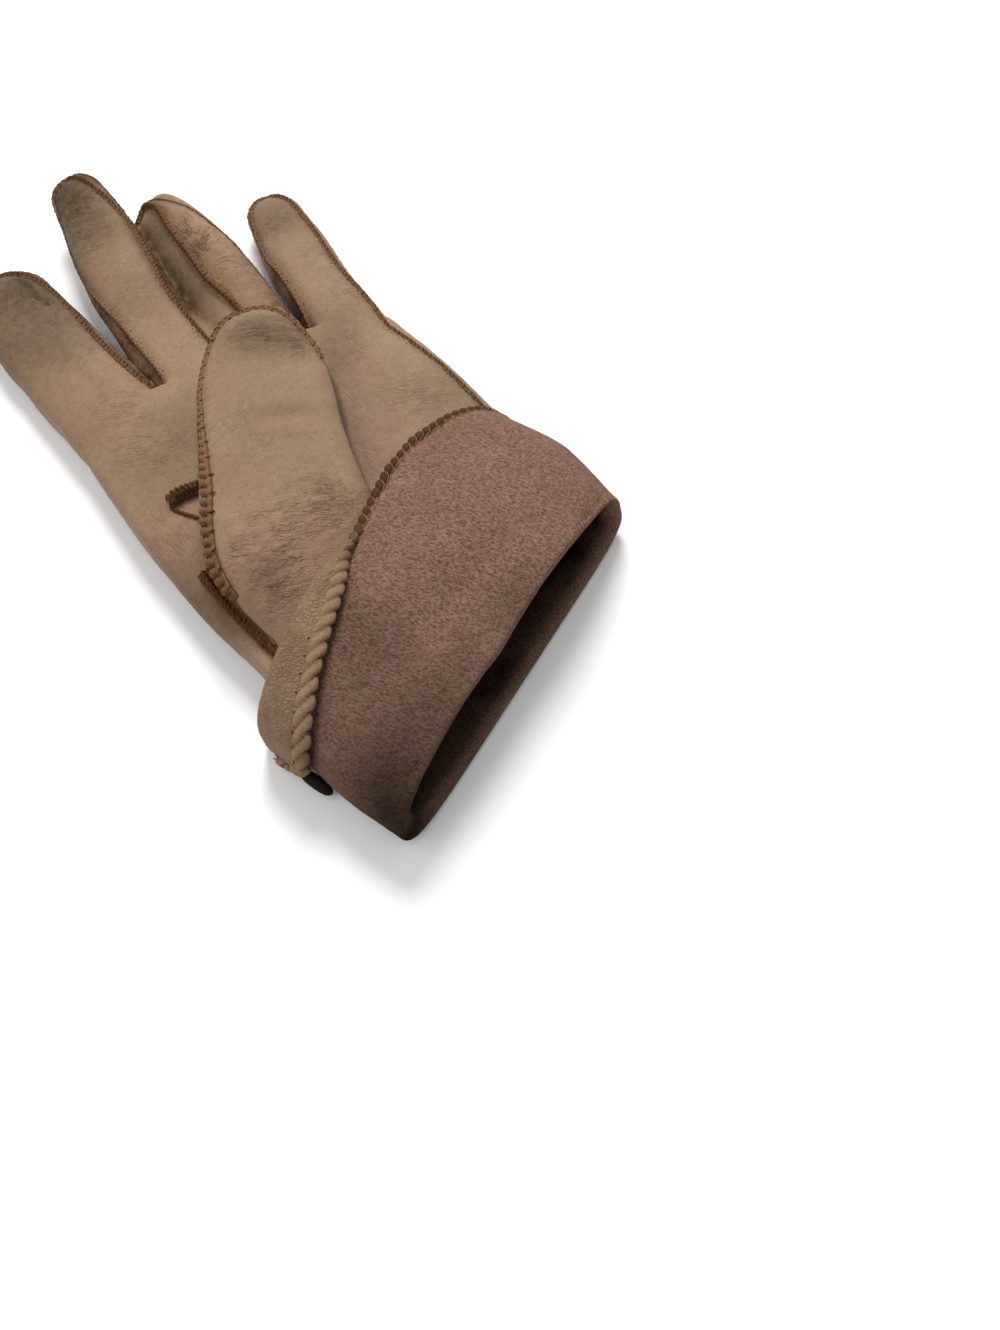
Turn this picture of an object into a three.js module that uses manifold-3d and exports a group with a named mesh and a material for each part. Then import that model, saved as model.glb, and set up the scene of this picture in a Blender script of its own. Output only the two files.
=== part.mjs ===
// A kidskin glove for the left hand, lying palm up with its cuff turned back.
// Millimetres, Z up. X runs from the forefinger's side to the little finger, Y from the wrist to the
// fingertips.
import * as THREE from 'three';
import Module from 'manifold-3d';

const wasm = await Module();
wasm.setup();
const { Manifold, Mesh } = wasm;

// Driving sizes
const handSize = 6.5; // French inches round the palm
const frenchInch = 27.07;
const palmWidth = (handSize * frenchInch) / 2; // the palm pressed flat
const wall = 1.2;
const gap = 0.3;
const smallestStep = 0.04; // detail under this is smoothed away
const handSides = 36; // points round the palm and the cuff
const fingerSides = 20;
const fingerFullness = 2.6; // how boxy a section is
const handFullness = 5;
const cuffFullness = 2.3;
const bodyRings = 7; // along a finger
const handRings = 12;
const webDepth = 0.14; // how far short of the knuckles the hollow of the hand stops, in rows
const cuffRings = 6;
const tipRings = 3; // rings that round off a fingertip
const tipRoundness = 0.55; // length of the rounded end, as a share of the width
const mouthCut = 9; // how far the hollow is cut on past an open edge
const foldRadius = 3; // of the leather where it turns back at the mouth
const rowSpan = 20; // usual length between two rows of a table
const lapelDepth = 16; // width of the flipped edge
const lapelStart = 96; // degrees round the cuff from the little finger's side
const lapelEnd = 193;
const forkBand = 0.56; // height of a fork's strip, as a share of the finger's
const forkBite = 4.5; // how far its cut reaches into the finger from the side

// Leather colours
const grain = new THREE.MeshStandardMaterial({ color: 0xa98d74, roughness: 0.62, metalness: 0 });
const forkLeather = new THREE.MeshStandardMaterial({ color: 0xa0806b, roughness: 0.66, metalness: 0 });
const fleshSide = new THREE.MeshStandardMaterial({ color: 0x86675a, roughness: 0.92, metalness: 0 });

// Turns rows under named columns into objects
const table = (columns, rows) =>
  rows.map((row) => Object.fromEntries(columns.map((column, i) => [column, row[i]])));

// The flattened tube of the hand: a row for each section, from its edge on the forefinger's side (xl, yl)
// to the other one (xr, yr). low, side and high are the heights of its underside, its edges and its top.
// What would lie under the table is pressed flat on it. bow pushes the middle of a section towards the
// fingers, lean does it to the top.
const edgeColumns = ['place', 'xl', 'yl', 'xr', 'yr', 'low', 'side', 'high', 'bow', 'lean'];
const handRows = table(edgeColumns, [
  ['mouth', 2.2, -52.7, 89.5, -22.5, 2.6, 9.0, 20.0, 0, 4],
  ['tuck', 0.0, -24.0, 87.0, -9.0, 2.4, 8.0, 16.5, 0, 1],
  ['wrist', -1.5, 0.0, palmWidth - 1.0, 5.0, 1.6, 6.6, 13.2, 0, 0],
  ['heel', -3.0, 20.0, palmWidth + 1.0, 22.0, 0.0, 6.2, 12.6, 0, 0],
  ['palm', -2.8, 42.0, palmWidth + 1.5, 41.0, -0.5, 6.0, 13.2, 0, 0],
  ['fingers', -1.4, 65.0, palmWidth + 0.9, 57.0, -0.5, 6.0, 13.0, 3, 0],
  ['knuckles', 0.4, 81.0, palmWidth + 0.6, 64.0, -0.3, 6.0, 11.8, 8, 0],
]);

// The cuff, turned back over the wrist: from the folded mouth to the line that lies foremost on the palm
const cuffRows = table(edgeColumns, [
  ['mouth', -0.6, -55.2, 92.5, -24.5, -0.3, 8.0, 23.0, 0, 4],
  ['middle', -5.0, -34.0, 92.0, -3.0, -0.5, 8.0, 27.0, 1, 0],
  ['edge', -6.6, -15.0, 87.5, 19.0, -0.3, 7.0, 25.5, 3, 0],
]);

// Soft hollows of the upper side, and swellings where the depth is negative. turn is in degrees from X.
const hollowColumns = ['place', 'x', 'y', 'turn', 'length', 'width', 'depth'];
const palmHollows = table(hollowColumns, [
  ['beside the thumb', 64, 42, 62, 26, 8, 1.3],
  ['under the little finger', 80, 50, 100, 20, 8, -0.7],
  ['under the forefinger', 15, 66, 20, 15, 8, 1.0],
  ['ball of the forefinger', 20, 78, 0, 12, 6, -0.6],
]);
const cuffHollows = table(hollowColumns, [
  ['over the wrist', 22, -26, 14, 24, 7, 1.6],
  ['towards the little finger', 74, 2, 110, 16, 7, 1.4],
  ['at the mouth', 40, -36, 15, 14, 6, 1.5],
  ['at the mouth, further on', 66, -27, 20, 9, 7, -1.2],
]);
const handForm = { rows: handRows, fullness: handFullness, hollows: palmHollows };
const cuffForm = { rows: cuffRows, fullness: cuffFullness, hollows: cuffHollows };

// A finger or the thumb: a row for each section along its middle line
const tubeColumns = ['x', 'y', 'z', 'width', 'high', 'roll'];
const fingerRows = {
  index: table(tubeColumns, [
    [13.2, 66, 6.2, 25.5, 10.6, 0],
    [13.3, 84, 6.4, 26.6, 12.4, 0],
    [12.9, 106, 6.0, 25.6, 11.6, 0],
    [12.8, 128, 6.0, 24.4, 10.6, 0],
    [15.2, 149.0, 6.4, 18.0, 8.4, 0],
  ]),
  middle: table(tubeColumns, [
    [36.6, 66, 6.2, 21.0, 10.6, 0],
    [37.4, 86, 6.5, 22.6, 12.6, 4],
    [38.8, 108, 7.2, 20.4, 12.2, 12],
    [42.6, 132, 9.2, 20.6, 11.6, 18],
    [49.0, 163.5, 12.6, 14.4, 8.6, 15],
  ]),
  ring: table(tubeColumns, [
    [56.0, 62, 6.2, 19.0, 10.6, 0],
    [57.8, 85, 7.2, 21.4, 13.0, 16],
    [59.4, 104, 8.8, 21.0, 13.4, 32],
    [60.6, 123, 9.4, 20.6, 12.6, 40],
    [61.4, 142.0, 9.8, 15.0, 9.0, 40],
  ]),
  little: table(tubeColumns, [
    [77.0, 52, 6.0, 20.0, 10.4, 0],
    [79.2, 72, 6.2, 20.0, 11.8, 0],
    [82.6, 92, 5.8, 19.8, 11.0, 0],
    [86.4, 108, 5.6, 18.8, 10.2, 0],
    [91.4, 127.0, 5.8, 14.6, 8.0, 0],
  ]),
};
const thumbRows = table(tubeColumns, [
  [19.5, -16, 8.4, 32.0, 9.0, 0],
  [21.0, 0, 13.5, 38.5, 11.0, 0],
  [25.0, 20, 18.0, 40.5, 11.0, 0],
  [35.5, 41, 19.4, 35.0, 10.8, 0],
  [45.8, 59.4, 19.6, 31.8, 10.4, 0],
  [56.5, 79.3, 19.6, 19.0, 9.0, 0],
]);

// The strips between the fingers: each runs up one side of two fingers, from a place in their rows, and
// its cut reaches past the sides of the fingers
const forks = table(['name', 'left', 'leftFrom', 'right', 'rightFrom', 'past'], [
  ['fork_index_middle', 'index', 0.8, 'middle', 0.78, 2.5],
  ['fork_middle_ring', 'middle', 0.9, 'ring', 0.85, 1.2],
  ['fork_ring_little', 'ring', 0.2, 'little', 0.7, 2.5],
]);

// The quirk, a kite of leather beside the thumb, in plan
const quirkPlan = [[7.5, 50.5], [18.5, 44.0], [11.0, 34.0]];

const underFullness = 5; // the side on the table is flatter than the others

// A smooth curve through the rows: Catmull-Rom on every number
function between(rows, place) {
  const last = rows.length - 1;
  const i = Math.min(Math.floor(place), last - 1);
  const f = place - i;
  const [a, b, c, d] = [i - 1, i, i + 1, i + 2].map((k) => rows[Math.min(Math.max(k, 0), last)]);
  const blend = (p, q, r, s) =>
    q + 0.5 * f * (r - p + f * (2 * p - 5 * q + 4 * r - s + f * (3 * (q - r) + s - p)));
  const keys = Object.keys(b).filter((key) => key !== 'place');
  return Object.fromEntries(keys.map((key) => [key, blend(a[key], b[key], c[key], d[key])]));
}

// The outline of a flattened tube at a turn round it: across and up, each from -1 to 1. The fuller it is,
// the nearer it comes to a box.
function pillow(turn, fullness) {
  const across = Math.cos(turn);
  const above = turn < Math.PI;
  const power = above ? fullness : underFullness;
  const up = Math.max(0, 1 - Math.abs(across) ** power) ** (1 / power);
  return [across, above ? up : -up];
}

// How deep the hollows of a form are at a point in plan
const hollowAt = (hollows, x, y) =>
  hollows.reduce((sum, hollow) => {
    const turn = THREE.MathUtils.degToRad(hollow.turn);
    const [dx, dy] = [x - hollow.x, y - hollow.y];
    const along = (dx * Math.cos(turn) + dy * Math.sin(turn)) / hollow.length;
    const across = (dy * Math.cos(turn) - dx * Math.sin(turn)) / hollow.width;
    return sum + hollow.depth * Math.exp(-along * along - across * across);
  }, 0);

// A point of the hand or the cuff at a turn round its section, moved inwards by inset
function edgePoint(form, row, turn, inset) {
  const [dx, dy] = [row.xr - row.xl, row.yr - row.yl];
  const width = Math.hypot(dx, dy);
  const [sx, sy] = [dx / width, dy / width];
  const [across, up] = pillow(turn, form.fullness);
  const reach = across * (width / 2 - inset);
  const rise = (up > 0 ? row.high - row.side : row.side - row.low) - inset;
  const forward = row.bow * (1 - across * across) + (row.lean * (up + 1)) / 2;
  const x = (row.xl + row.xr) / 2 + sx * reach - sy * forward;
  const y = (row.yl + row.yr) / 2 + sy * reach + sx * forward;
  const z = row.side + rise * up - Math.max(up, 0) * hollowAt(form.hollows, x, y);
  return [x, y, Math.max(z, inset)];
}

const edgeRing = (form, row, inset) =>
  Array.from({ length: handSides }, (_, j) => edgePoint(form, row, (2 * Math.PI * j) / handSides, inset));

// One ring of points of a finger, moved inwards by inset and never below the floor
function tubeRing(row, heading, inset, scale) {
  const [sx, sy] = [Math.cos(heading), Math.sin(heading)];
  const roll = THREE.MathUtils.degToRad(row.roll);
  return Array.from({ length: fingerSides }, (_, j) => {
    const [across, up] = pillow((2 * Math.PI * j) / fingerSides, fingerFullness);
    const u = across * (row.width / 2 - inset) * scale;
    const v = up * (row.high / 2 - inset) * scale;
    const side = u * Math.cos(roll) - v * Math.sin(roll);
    const height = row.z + u * Math.sin(roll) + v * Math.cos(roll);
    return [row.x + sx * side, row.y + sy * side, Math.max(height, inset)];
  });
}

// A closed solid from points and the corners of its triangles
function solidFrom(points, faces) {
  const vertProperties = new Float32Array(points.flat());
  return new Manifold(new Mesh({ numProp: 3, vertProperties, triVerts: new Uint32Array(faces) }));
}

// A flat or bent end over a ring, from one edge of it to the other
function endFaces(sides, corner) {
  const faces = [];
  let [low, high] = [0, sides - 1];
  while (low + 1 < high) {
    faces.push(corner(low), corner(low + 1), corner(high));
    low += 1;
    if (low + 1 < high) faces.push(corner(low), corner(high - 1), corner(high));
    high -= 1;
  }
  return faces;
}

// A closed solid through rings of points that follow each other forwards
function loft(rings) {
  const sides = rings[0].length;
  const last = rings.length - 1;
  const at = (i, j) => i * sides + (j % sides);
  const faces = endFaces(sides, (j) => at(0, j));
  faces.push(...endFaces(sides, (j) => at(last, j)).reverse());
  for (let i = 0; i < last; i += 1) {
    for (let j = 0; j < sides; j += 1) {
      faces.push(at(i, j), at(i + 1, j + 1), at(i, j + 1), at(i, j), at(i + 1, j), at(i + 1, j + 1));
    }
  }
  return solidFrom(rings.flat(), faces);
}

// A strip of leather through a grid of points, half a wall thick to each side of it
function sheet(grid) {
  const [rows, columns] = [grid.length, grid[0].length];
  const vector = (i, j) => new THREE.Vector3(...grid[i][j]);
  const near = (i, count) => [Math.max(i - 1, 0), Math.min(i + 1, count - 1)];
  const side = (sign) =>
    grid.flatMap((row, i) =>
      row.map((_, j) => {
        const [i0, i1] = near(i, rows);
        const [j0, j1] = near(j, columns);
        const along = vector(i1, j).sub(vector(i0, j));
        const across = vector(i, j1).sub(vector(i, j0));
        return vector(i, j).addScaledVector(along.cross(across).normalize(), (sign * wall) / 2).toArray();
      }),
    );
  const points = [...side(1), ...side(-1)];
  const at = (layer, i, j) => layer * rows * columns + i * columns + j;
  const faces = [];
  const quad = (a, b, c, d) => faces.push(a, b, c, a, c, d);
  for (let i = 0; i + 1 < rows; i += 1) {
    for (let j = 0; j + 1 < columns; j += 1) {
      quad(at(0, i, j), at(0, i + 1, j), at(0, i + 1, j + 1), at(0, i, j + 1));
      quad(at(1, i, j), at(1, i, j + 1), at(1, i + 1, j + 1), at(1, i + 1, j));
    }
    quad(at(0, i, 0), at(1, i, 0), at(1, i + 1, 0), at(0, i + 1, 0));
    const end = columns - 1;
    quad(at(0, i + 1, end), at(1, i + 1, end), at(1, i, end), at(0, i, end));
  }
  for (let j = 0; j + 1 < columns; j += 1) {
    quad(at(0, 0, j + 1), at(1, 0, j + 1), at(1, 0, j), at(0, 0, j));
    quad(at(0, rows - 1, j), at(1, rows - 1, j), at(1, rows - 1, j + 1), at(0, rows - 1, j + 1));
  }
  return solidFrom(points, faces);
}

const evenly = (from, to, count) =>
  Array.from({ length: count }, (_, i) => from + ((to - from) * i) / (count - 1));

// A ring moved towards the fingers, square to its section
const forwards = (ring, row, distance) => {
  const [dx, dy] = [row.xr - row.xl, row.yr - row.yl];
  const width = Math.hypot(dx, dy);
  return ring.map(([x, y, z]) => [x - (dy / width) * distance, y + (dx / width) * distance, z]);
};

// The tube of the hand, from the mouth to the knuckles. A grown one reaches past both of its ends.
function hand(inset) {
  const last = handRows.length - 1;
  const end = last - (inset > 0 ? webDepth : 0);
  const ringAt = (place) => edgeRing(handForm, between(handRows, place), inset);
  const rings = evenly(0, end, handRings).map(ringAt);
  if (inset !== 0) rings.unshift(forwards(rings[0], handRows[0], inset > 0 ? -mouthCut : inset));
  if (inset < 0) rings.push(forwards(rings[rings.length - 1], handRows[last], -inset));
  return loft(rings);
}

const cuffRing = (place, inset) => edgeRing(cuffForm, between(cuffRows, place), inset);

// The cuff as a solid block, from its rounded fold at the mouth to its edge
function cuffBlock() {
  const fold = [0, 1, 2].map((k) => {
    const turn = (k * Math.PI) / 6;
    const ring = cuffRing(0, foldRadius * (1 - Math.sin(turn)));
    return forwards(ring, cuffRows[0], foldRadius * (1 - Math.cos(turn)));
  });
  const body = evenly(0.15, cuffRows.length - 1, cuffRings).map((place) => cuffRing(place, 0));
  return loft([...fold, ...body]);
}

// The room inside the cuff, open past its edge
function cuffRoom() {
  const last = cuffRows.length - 1;
  const rings = evenly(0.12, last, cuffRings).map((place) => cuffRing(place, wall));
  rings.push(forwards(rings[rings.length - 1], cuffRows[last], mouthCut));
  return loft(rings);
}

// A point on the cuff, by its turn, its distance back from the edge and its height over the leather
function cuffPoint(turn, back, over) {
  const row = between(cuffRows, cuffRows.length - 1 - Math.max(back, 0) / rowSpan);
  const [point] = forwards([edgePoint(cuffForm, row, turn, -over)], row, Math.max(-back, 0));
  return point;
}

// The part of the cuff's edge that is flipped over once more on the forefinger side
function lapel() {
  const turns = evenly(lapelStart, lapelEnd, 22);
  const strip = turns.map((turn) => {
    const f = (turn - lapelStart) / (lapelEnd - lapelStart);
    const depth = Math.max(lapelDepth * Math.sin(Math.PI * f ** 1.6), 0.8);
    const lift = Math.min(1, 0.3 + depth / 8);
    const rounds = [[-1.7 * lift, 0.9 * lift], [-0.9 * lift, 2.3 * lift]];
    const fold = [[1.5, -wall / 2], [-0.6, -0.3], ...rounds];
    const flap = evenly(0.4, depth, 4).map((back) => [back, (2.8 + back / 20) * lift]);
    return [...fold, ...flap].map(([back, over]) => cuffPoint(THREE.MathUtils.degToRad(turn), back, over));
  });
  return sheet(strip);
}

// The places of a tube's rings along its rows, each with its scale, which falls to nearly nothing at the tip
function tubeStations(rows, inset) {
  const last = rows.length - 1;
  const spanLength = Math.hypot(rows[last].x - rows[last - 1].x, rows[last].y - rows[last - 1].y);
  const end = last - inset / spanLength;
  const roundness = (rows[last].width * tipRoundness - inset) / spanLength;
  const body = evenly(0, end - roundness, bodyRings).map((place) => [place, 1]);
  const tip = evenly(Math.PI / 2 / tipRings, Math.PI / 2 - 0.16, tipRings).map((turn) => [
    end - roundness * (1 - Math.sin(turn)),
    Math.cos(turn),
  ]);
  return [...body, ...tip];
}

// A finger or the thumb, rounded off at its tip
const tube = (rows, inset) =>
  loft(
    tubeStations(rows, inset).map(([place, scale]) =>
      tubeRing(between(rows, place), headingAt(rows, place), inset, scale),
    ),
  );

// The way that a tube points in plan, as the turn of its side from X
function headingAt(rows, place) {
  const step = 0.05;
  const [a, b] = [between(rows, place - step), between(rows, place + step)];
  return -Math.atan2(b.x - a.x, b.y - a.y);
}

// A block along one side of a finger, which cuts out that side of a fork, from a row near the finger's
// root on, and reaches past the side of the finger
function sideBlock(rows, sign, from, past, spare) {
  const places = tubeStations(rows, 0)
    .filter(([place, scale]) => place > from && scale === 1)
    .map(([place]) => place);
  places.unshift(from - spare / rowSpan);
  places[places.length - 1] += spare / rowSpan;
  const rings = places.map((place) => {
    const row = between(rows, place);
    const heading = headingAt(rows, place);
    const roll = THREE.MathUtils.degToRad(row.roll);
    const [inner, outer] = [row.width / 2 - forkBite - spare, row.width / 2 + past + spare];
    const half = (row.high * forkBand) / 2 + spare;
    const [low, high] = sign > 0 ? [inner, outer] : [-outer, -inner];
    return [[low, -half], [high, -half], [high, half], [low, half]].map(([u, v]) => {
      const side = u * Math.cos(roll) - v * Math.sin(roll);
      const height = row.z + u * Math.sin(roll) + v * Math.cos(roll);
      return [row.x + Math.cos(heading) * side, row.y + Math.sin(heading) * side, height];
    });
  });
  return loft(rings);
}

const forkBlock = (fork, spare) =>
  Manifold.union(
    sideBlock(fingerRows[fork.left], 1, fork.leftFrom, fork.past, spare),
    sideBlock(fingerRows[fork.right], -1, fork.rightFrom, fork.past, spare),
  );

// The leather of the hand and fingers, before the forks, the thumb and the quirk are cut out of it
const fingers = Object.entries(fingerRows);
const fingersOut = fingers.map(([, rows]) => tube(rows, 0));
const hollow = Manifold.union([hand(wall), ...fingers.map(([, rows]) => tube(rows, wall))]);
const leather = Manifold.union([hand(0), ...fingersOut]).subtract(hollow);

// The cuff stands round the mouth of the hand, clear of it
const cuff = cuffBlock().subtract(cuffRoom()).add(lapel()).subtract(hand(wall)).subtract(hand(-gap));

const grow = (plan, spare) => {
  const middle = [0, 1].map((k) => plan.reduce((sum, point) => sum + point[k], 0) / plan.length);
  return plan.map((point) => {
    const away = point.map((value, k) => value - middle[k]);
    const reach = Math.hypot(...away);
    return middle.map((value, k) => value + (away[k] * (reach + 2 * spare)) / reach);
  });
};
const quirkBlock = (spare) => {
  const plan = grow(quirkPlan, spare);
  return loft([6, 30].map((z) => plan.map(([x, y]) => [x, y, z])));
};

const thumbIn = tube(thumbRows, wall);
const thumb = tube(thumbRows, 0).subtract(thumbIn).subtract(hand(-gap));
const quirk = leather.intersect(quirkBlock(0)).subtract(tube(thumbRows, -gap));
const forkSolids = forks.map((fork) => [fork.name, leather.intersect(forkBlock(fork, 0))]);
const forkCuts = Manifold.union(forks.map((fork) => forkBlock(fork, gap)));
const trank = Manifold.difference([hand(0), hollow, thumbIn, quirkBlock(gap), forkCuts]);

// Each finger is clear of the hand, and of the finger before it
let taken = hand(-gap);
const fingerSolids = fingers.map(([name, rows], i) => {
  const finger = Manifold.difference([fingersOut[i], hollow, forkCuts, taken]);
  taken = taken.add(tube(rows, -gap));
  return [name + '_finger', finger];
});

function node(name, solid, material) {
  const { numProp, vertProperties, triVerts } = solid.simplify(smallestStep).getMesh();
  if (numProp !== 3) throw new Error('unexpected point data in ' + name);
  const geometry = new THREE.BufferGeometry();
  geometry.setAttribute('position', new THREE.BufferAttribute(vertProperties, 3));
  geometry.setIndex(new THREE.BufferAttribute(triVerts, 1));
  const mesh = new THREE.Mesh(geometry, material);
  mesh.name = name;
  return mesh;
}

const glove = new THREE.Group();
glove.name = 'glove';
glove.add(node('trank', trank, grain));
glove.add(node('cuff', cuff, fleshSide));
glove.add(node('thumb', thumb, grain));
glove.add(node('quirk', quirk, forkLeather));
fingerSolids.forEach(([name, solid]) => glove.add(node(name, solid, grain)));
forkSolids.forEach(([name, solid]) => glove.add(node(name, solid, forkLeather)));

// The origin is under the middle of the whole
const bounds = new THREE.Box3().setFromObject(glove);
const middle = bounds.getCenter(new THREE.Vector3());
glove.position.set(-middle.x, -middle.y, -bounds.min.z);
export default glove;
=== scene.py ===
"""A kidskin glove for the left hand, lying palm up with its cuff turned back."""
import math

import bmesh
import bpy
import numpy as np
from bpy.props import FloatProperty, FloatVectorProperty, PointerProperty
from mathutils import Matrix, Vector
from mathutils.bvhtree import BVHTree
from mathutils.kdtree import KDTree


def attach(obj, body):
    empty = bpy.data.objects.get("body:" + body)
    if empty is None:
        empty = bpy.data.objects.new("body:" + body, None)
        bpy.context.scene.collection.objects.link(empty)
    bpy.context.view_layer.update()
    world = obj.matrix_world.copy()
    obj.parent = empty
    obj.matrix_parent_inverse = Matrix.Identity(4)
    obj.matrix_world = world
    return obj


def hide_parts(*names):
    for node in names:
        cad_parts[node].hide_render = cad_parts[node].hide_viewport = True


bl_info = {
    "name": "Kidskin glove",
    "version": (1, 0, 0),
    "blender": (4, 5, 0),
    "location": "View3D > Sidebar > Glove",
    "description": "Makes a short kidskin glove around its packed frame",
    "category": "Object",
}

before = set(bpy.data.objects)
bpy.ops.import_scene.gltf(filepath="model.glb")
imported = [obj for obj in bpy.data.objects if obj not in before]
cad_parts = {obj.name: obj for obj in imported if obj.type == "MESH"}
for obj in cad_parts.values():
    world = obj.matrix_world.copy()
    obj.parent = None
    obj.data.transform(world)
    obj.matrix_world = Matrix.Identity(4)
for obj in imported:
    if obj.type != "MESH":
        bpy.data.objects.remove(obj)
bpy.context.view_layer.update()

# The forms are worked out in millimetres on the glove's pattern: X runs from the forefinger's side to the
# little finger, Y from the wrist to the fingertips, Z up. ORIGIN is the pattern's origin in the row frame.
ORIGIN = np.array([-43.815, -55.163, 0.0])
MM = 0.001
PALM_WIDTH = 87.98
# How full the outlines of the sections are: 2 is an ellipse, and more is boxier
UNDER_FULLNESS = 5.0
HAND_FULLNESS = 5.0
CUFF_FULLNESS = 2.3
FINGER_FULLNESS = 2.6
# The length of a rounded fingertip, as a share of the last section's width
TIP_ROUNDNESS = 0.55
# How far apart a table's rows lie, about, and the steps along a seam's line
ROW_SPAN = 20.0
SEAM_STEP = 0.45
FINGER_NAMES = ("index", "middle", "ring", "little")

# A row for each section of a flattened tube: its edge on the forefinger's side (xl, yl), the other edge
# (xr, yr), the heights of its underside, its edges and its top, then bow and lean towards the fingers
HAND_ROWS = np.array([
    [2.2, -52.7, 89.5, -22.5, 2.6, 9.0, 20.0, 0, 4],
    [0.0, -24.0, 87.0, -9.0, 2.4, 8.0, 16.5, 0, 1],
    [-1.5, 0.0, PALM_WIDTH - 1.0, 5.0, 1.6, 6.6, 13.2, 0, 0],
    [-3.0, 20.0, PALM_WIDTH + 1.0, 22.0, 0.0, 6.2, 12.6, 0, 0],
    [-2.8, 42.0, PALM_WIDTH + 1.5, 41.0, -0.5, 6.0, 13.2, 0, 0],
    [-1.4, 65.0, PALM_WIDTH + 0.9, 57.0, -0.5, 6.0, 13.0, 3, 0],
    [0.4, 81.0, PALM_WIDTH + 0.6, 64.0, -0.3, 6.0, 11.8, 8, 0],
])
CUFF_ROWS = np.array([
    [-0.6, -55.2, 93.2, -24.5, -0.3, 8.0, 23.0, 0, 4],
    [-5.0, -34.0, 93.2, -3.0, -0.5, 8.0, 27.0, 1, 0],
    [-6.6, -15.0, 87.5, 19.0, -0.3, 7.0, 25.5, 3, 0],
])

# Soft hollows of the upper side, and swellings where the depth is negative:
# x, y, turn in degrees, length, width, depth
PALM_HOLLOWS = [
    [64, 42, 62, 26, 8, 1.3],
    [80, 50, 100, 20, 8, -0.7],
    [15, 66, 20, 15, 8, 1.0],
    [20, 78, 0, 12, 6, -0.6],
]
CUFF_HOLLOWS = [
    [22, -26, 14, 24, 7, 1.6],
    [74, 2, 110, 16, 7, 1.4],
    [40, -36, 15, 14, 6, 1.5],
    [66, -27, 20, 9, 7, -1.2],
]
HAND = (HAND_ROWS, PALM_HOLLOWS, HAND_FULLNESS)
CUFF = (CUFF_ROWS, CUFF_HOLLOWS, CUFF_FULLNESS)

# A row for each section along a finger's middle line: x, y, z, width, height, roll in degrees
FINGERS = {
    "index": np.array([
        [13.2, 66, 6.2, 25.5, 10.6, 0],
        [13.3, 84, 6.4, 26.6, 12.4, 0],
        [12.9, 106, 6.0, 25.6, 11.6, 0],
        [12.8, 128, 6.0, 24.4, 10.6, 0],
        [15.2, 149.0, 6.4, 18.0, 8.4, 0],
    ]),
    "middle": np.array([
        [36.6, 66, 6.2, 21.0, 10.6, 0],
        [37.4, 86, 6.5, 22.6, 12.6, 4],
        [38.8, 108, 7.2, 20.4, 12.2, 12],
        [42.6, 132, 9.2, 20.6, 11.6, 18],
        [49.0, 163.5, 12.6, 14.4, 8.6, 15],
    ]),
    "ring": np.array([
        [56.0, 62, 6.2, 19.0, 10.6, 0],
        [57.8, 85, 7.2, 21.4, 13.0, 16],
        [59.4, 104, 8.8, 21.0, 13.4, 32],
        [60.6, 123, 9.4, 20.6, 12.6, 40],
        [61.4, 142.0, 9.8, 15.0, 9.0, 40],
    ]),
    "little": np.array([
        [77.0, 52, 6.0, 20.0, 10.4, 0],
        [79.2, 72, 6.2, 20.0, 11.8, 0],
        [82.6, 92, 5.8, 19.8, 11.0, 0],
        [86.4, 108, 5.6, 18.8, 10.2, 0],
        [91.4, 127.0, 5.8, 14.6, 8.0, 0],
    ]),
    "thumb": np.array([
        [20.8, -16, 8.4, 30.0, 9.0, 0],
        [22.2, 0, 13.5, 36.0, 11.0, 0],
        [25.3, 20, 18.0, 40.0, 11.0, 0],
        [35.5, 41, 19.4, 35.0, 10.8, 0],
        [45.8, 59.4, 19.6, 31.8, 10.4, 0],
        [56.5, 79.3, 19.6, 19.0, 9.0, 0],
    ]),
}

# Seams along the sides of the fingers, from the root to the tip: (place in the finger's rows, turn in
# degrees round it from its little finger's side, over its top)
PALM_SEAMS = {
    "index right": [(1.16, 30), (1.6, 33), (2.3, 30), (3.0, 22), (3.35, 26), (3.6, 42), (3.78, 62),
                    (3.9, 90)],
    "index end": [(3.4, 166), (3.6, 158), (3.8, 138), (3.9, 90)],
    "middle left": [(0.74, 143), (1.0, 135), (1.5, 134), (2.0, 136), (2.35, 144), (2.8, 158), (3.2, 170),
                    (3.6, 168), (3.85, 140), (3.94, 92)],
    "middle right": [(0.95, 44), (1.45, 40), (1.96, 32), (2.4, 22), (2.8, 14), (3.15, 10), (3.4, 24),
                     (3.6, 42), (3.75, 58), (3.93, 86)],
    "ring left": [(0.95, 156), (2, 166), (3, 168), (3.5, 156), (3.8, 128), (3.92, 95)],
    "ring right": [(1.1, 85), (1.5, 84), (1.9, 86), (2.42, 80), (3.04, 74), (3.45, 64), (3.7, 70),
                   (3.92, 90)],
    "little left": [(0.8, 176), (1.1, 170), (1.44, 156), (1.86, 150), (2.3, 152), (2.7, 164), (3.2, 168),
                    (3.6, 156), (3.85, 125), (3.94, 92)],
    "little right": [(0.9, 34), (1.3, 38), (1.92, 42), (2.5, 43), (3.33, 44), (3.7, 54), (3.9, 80)],
}
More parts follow.
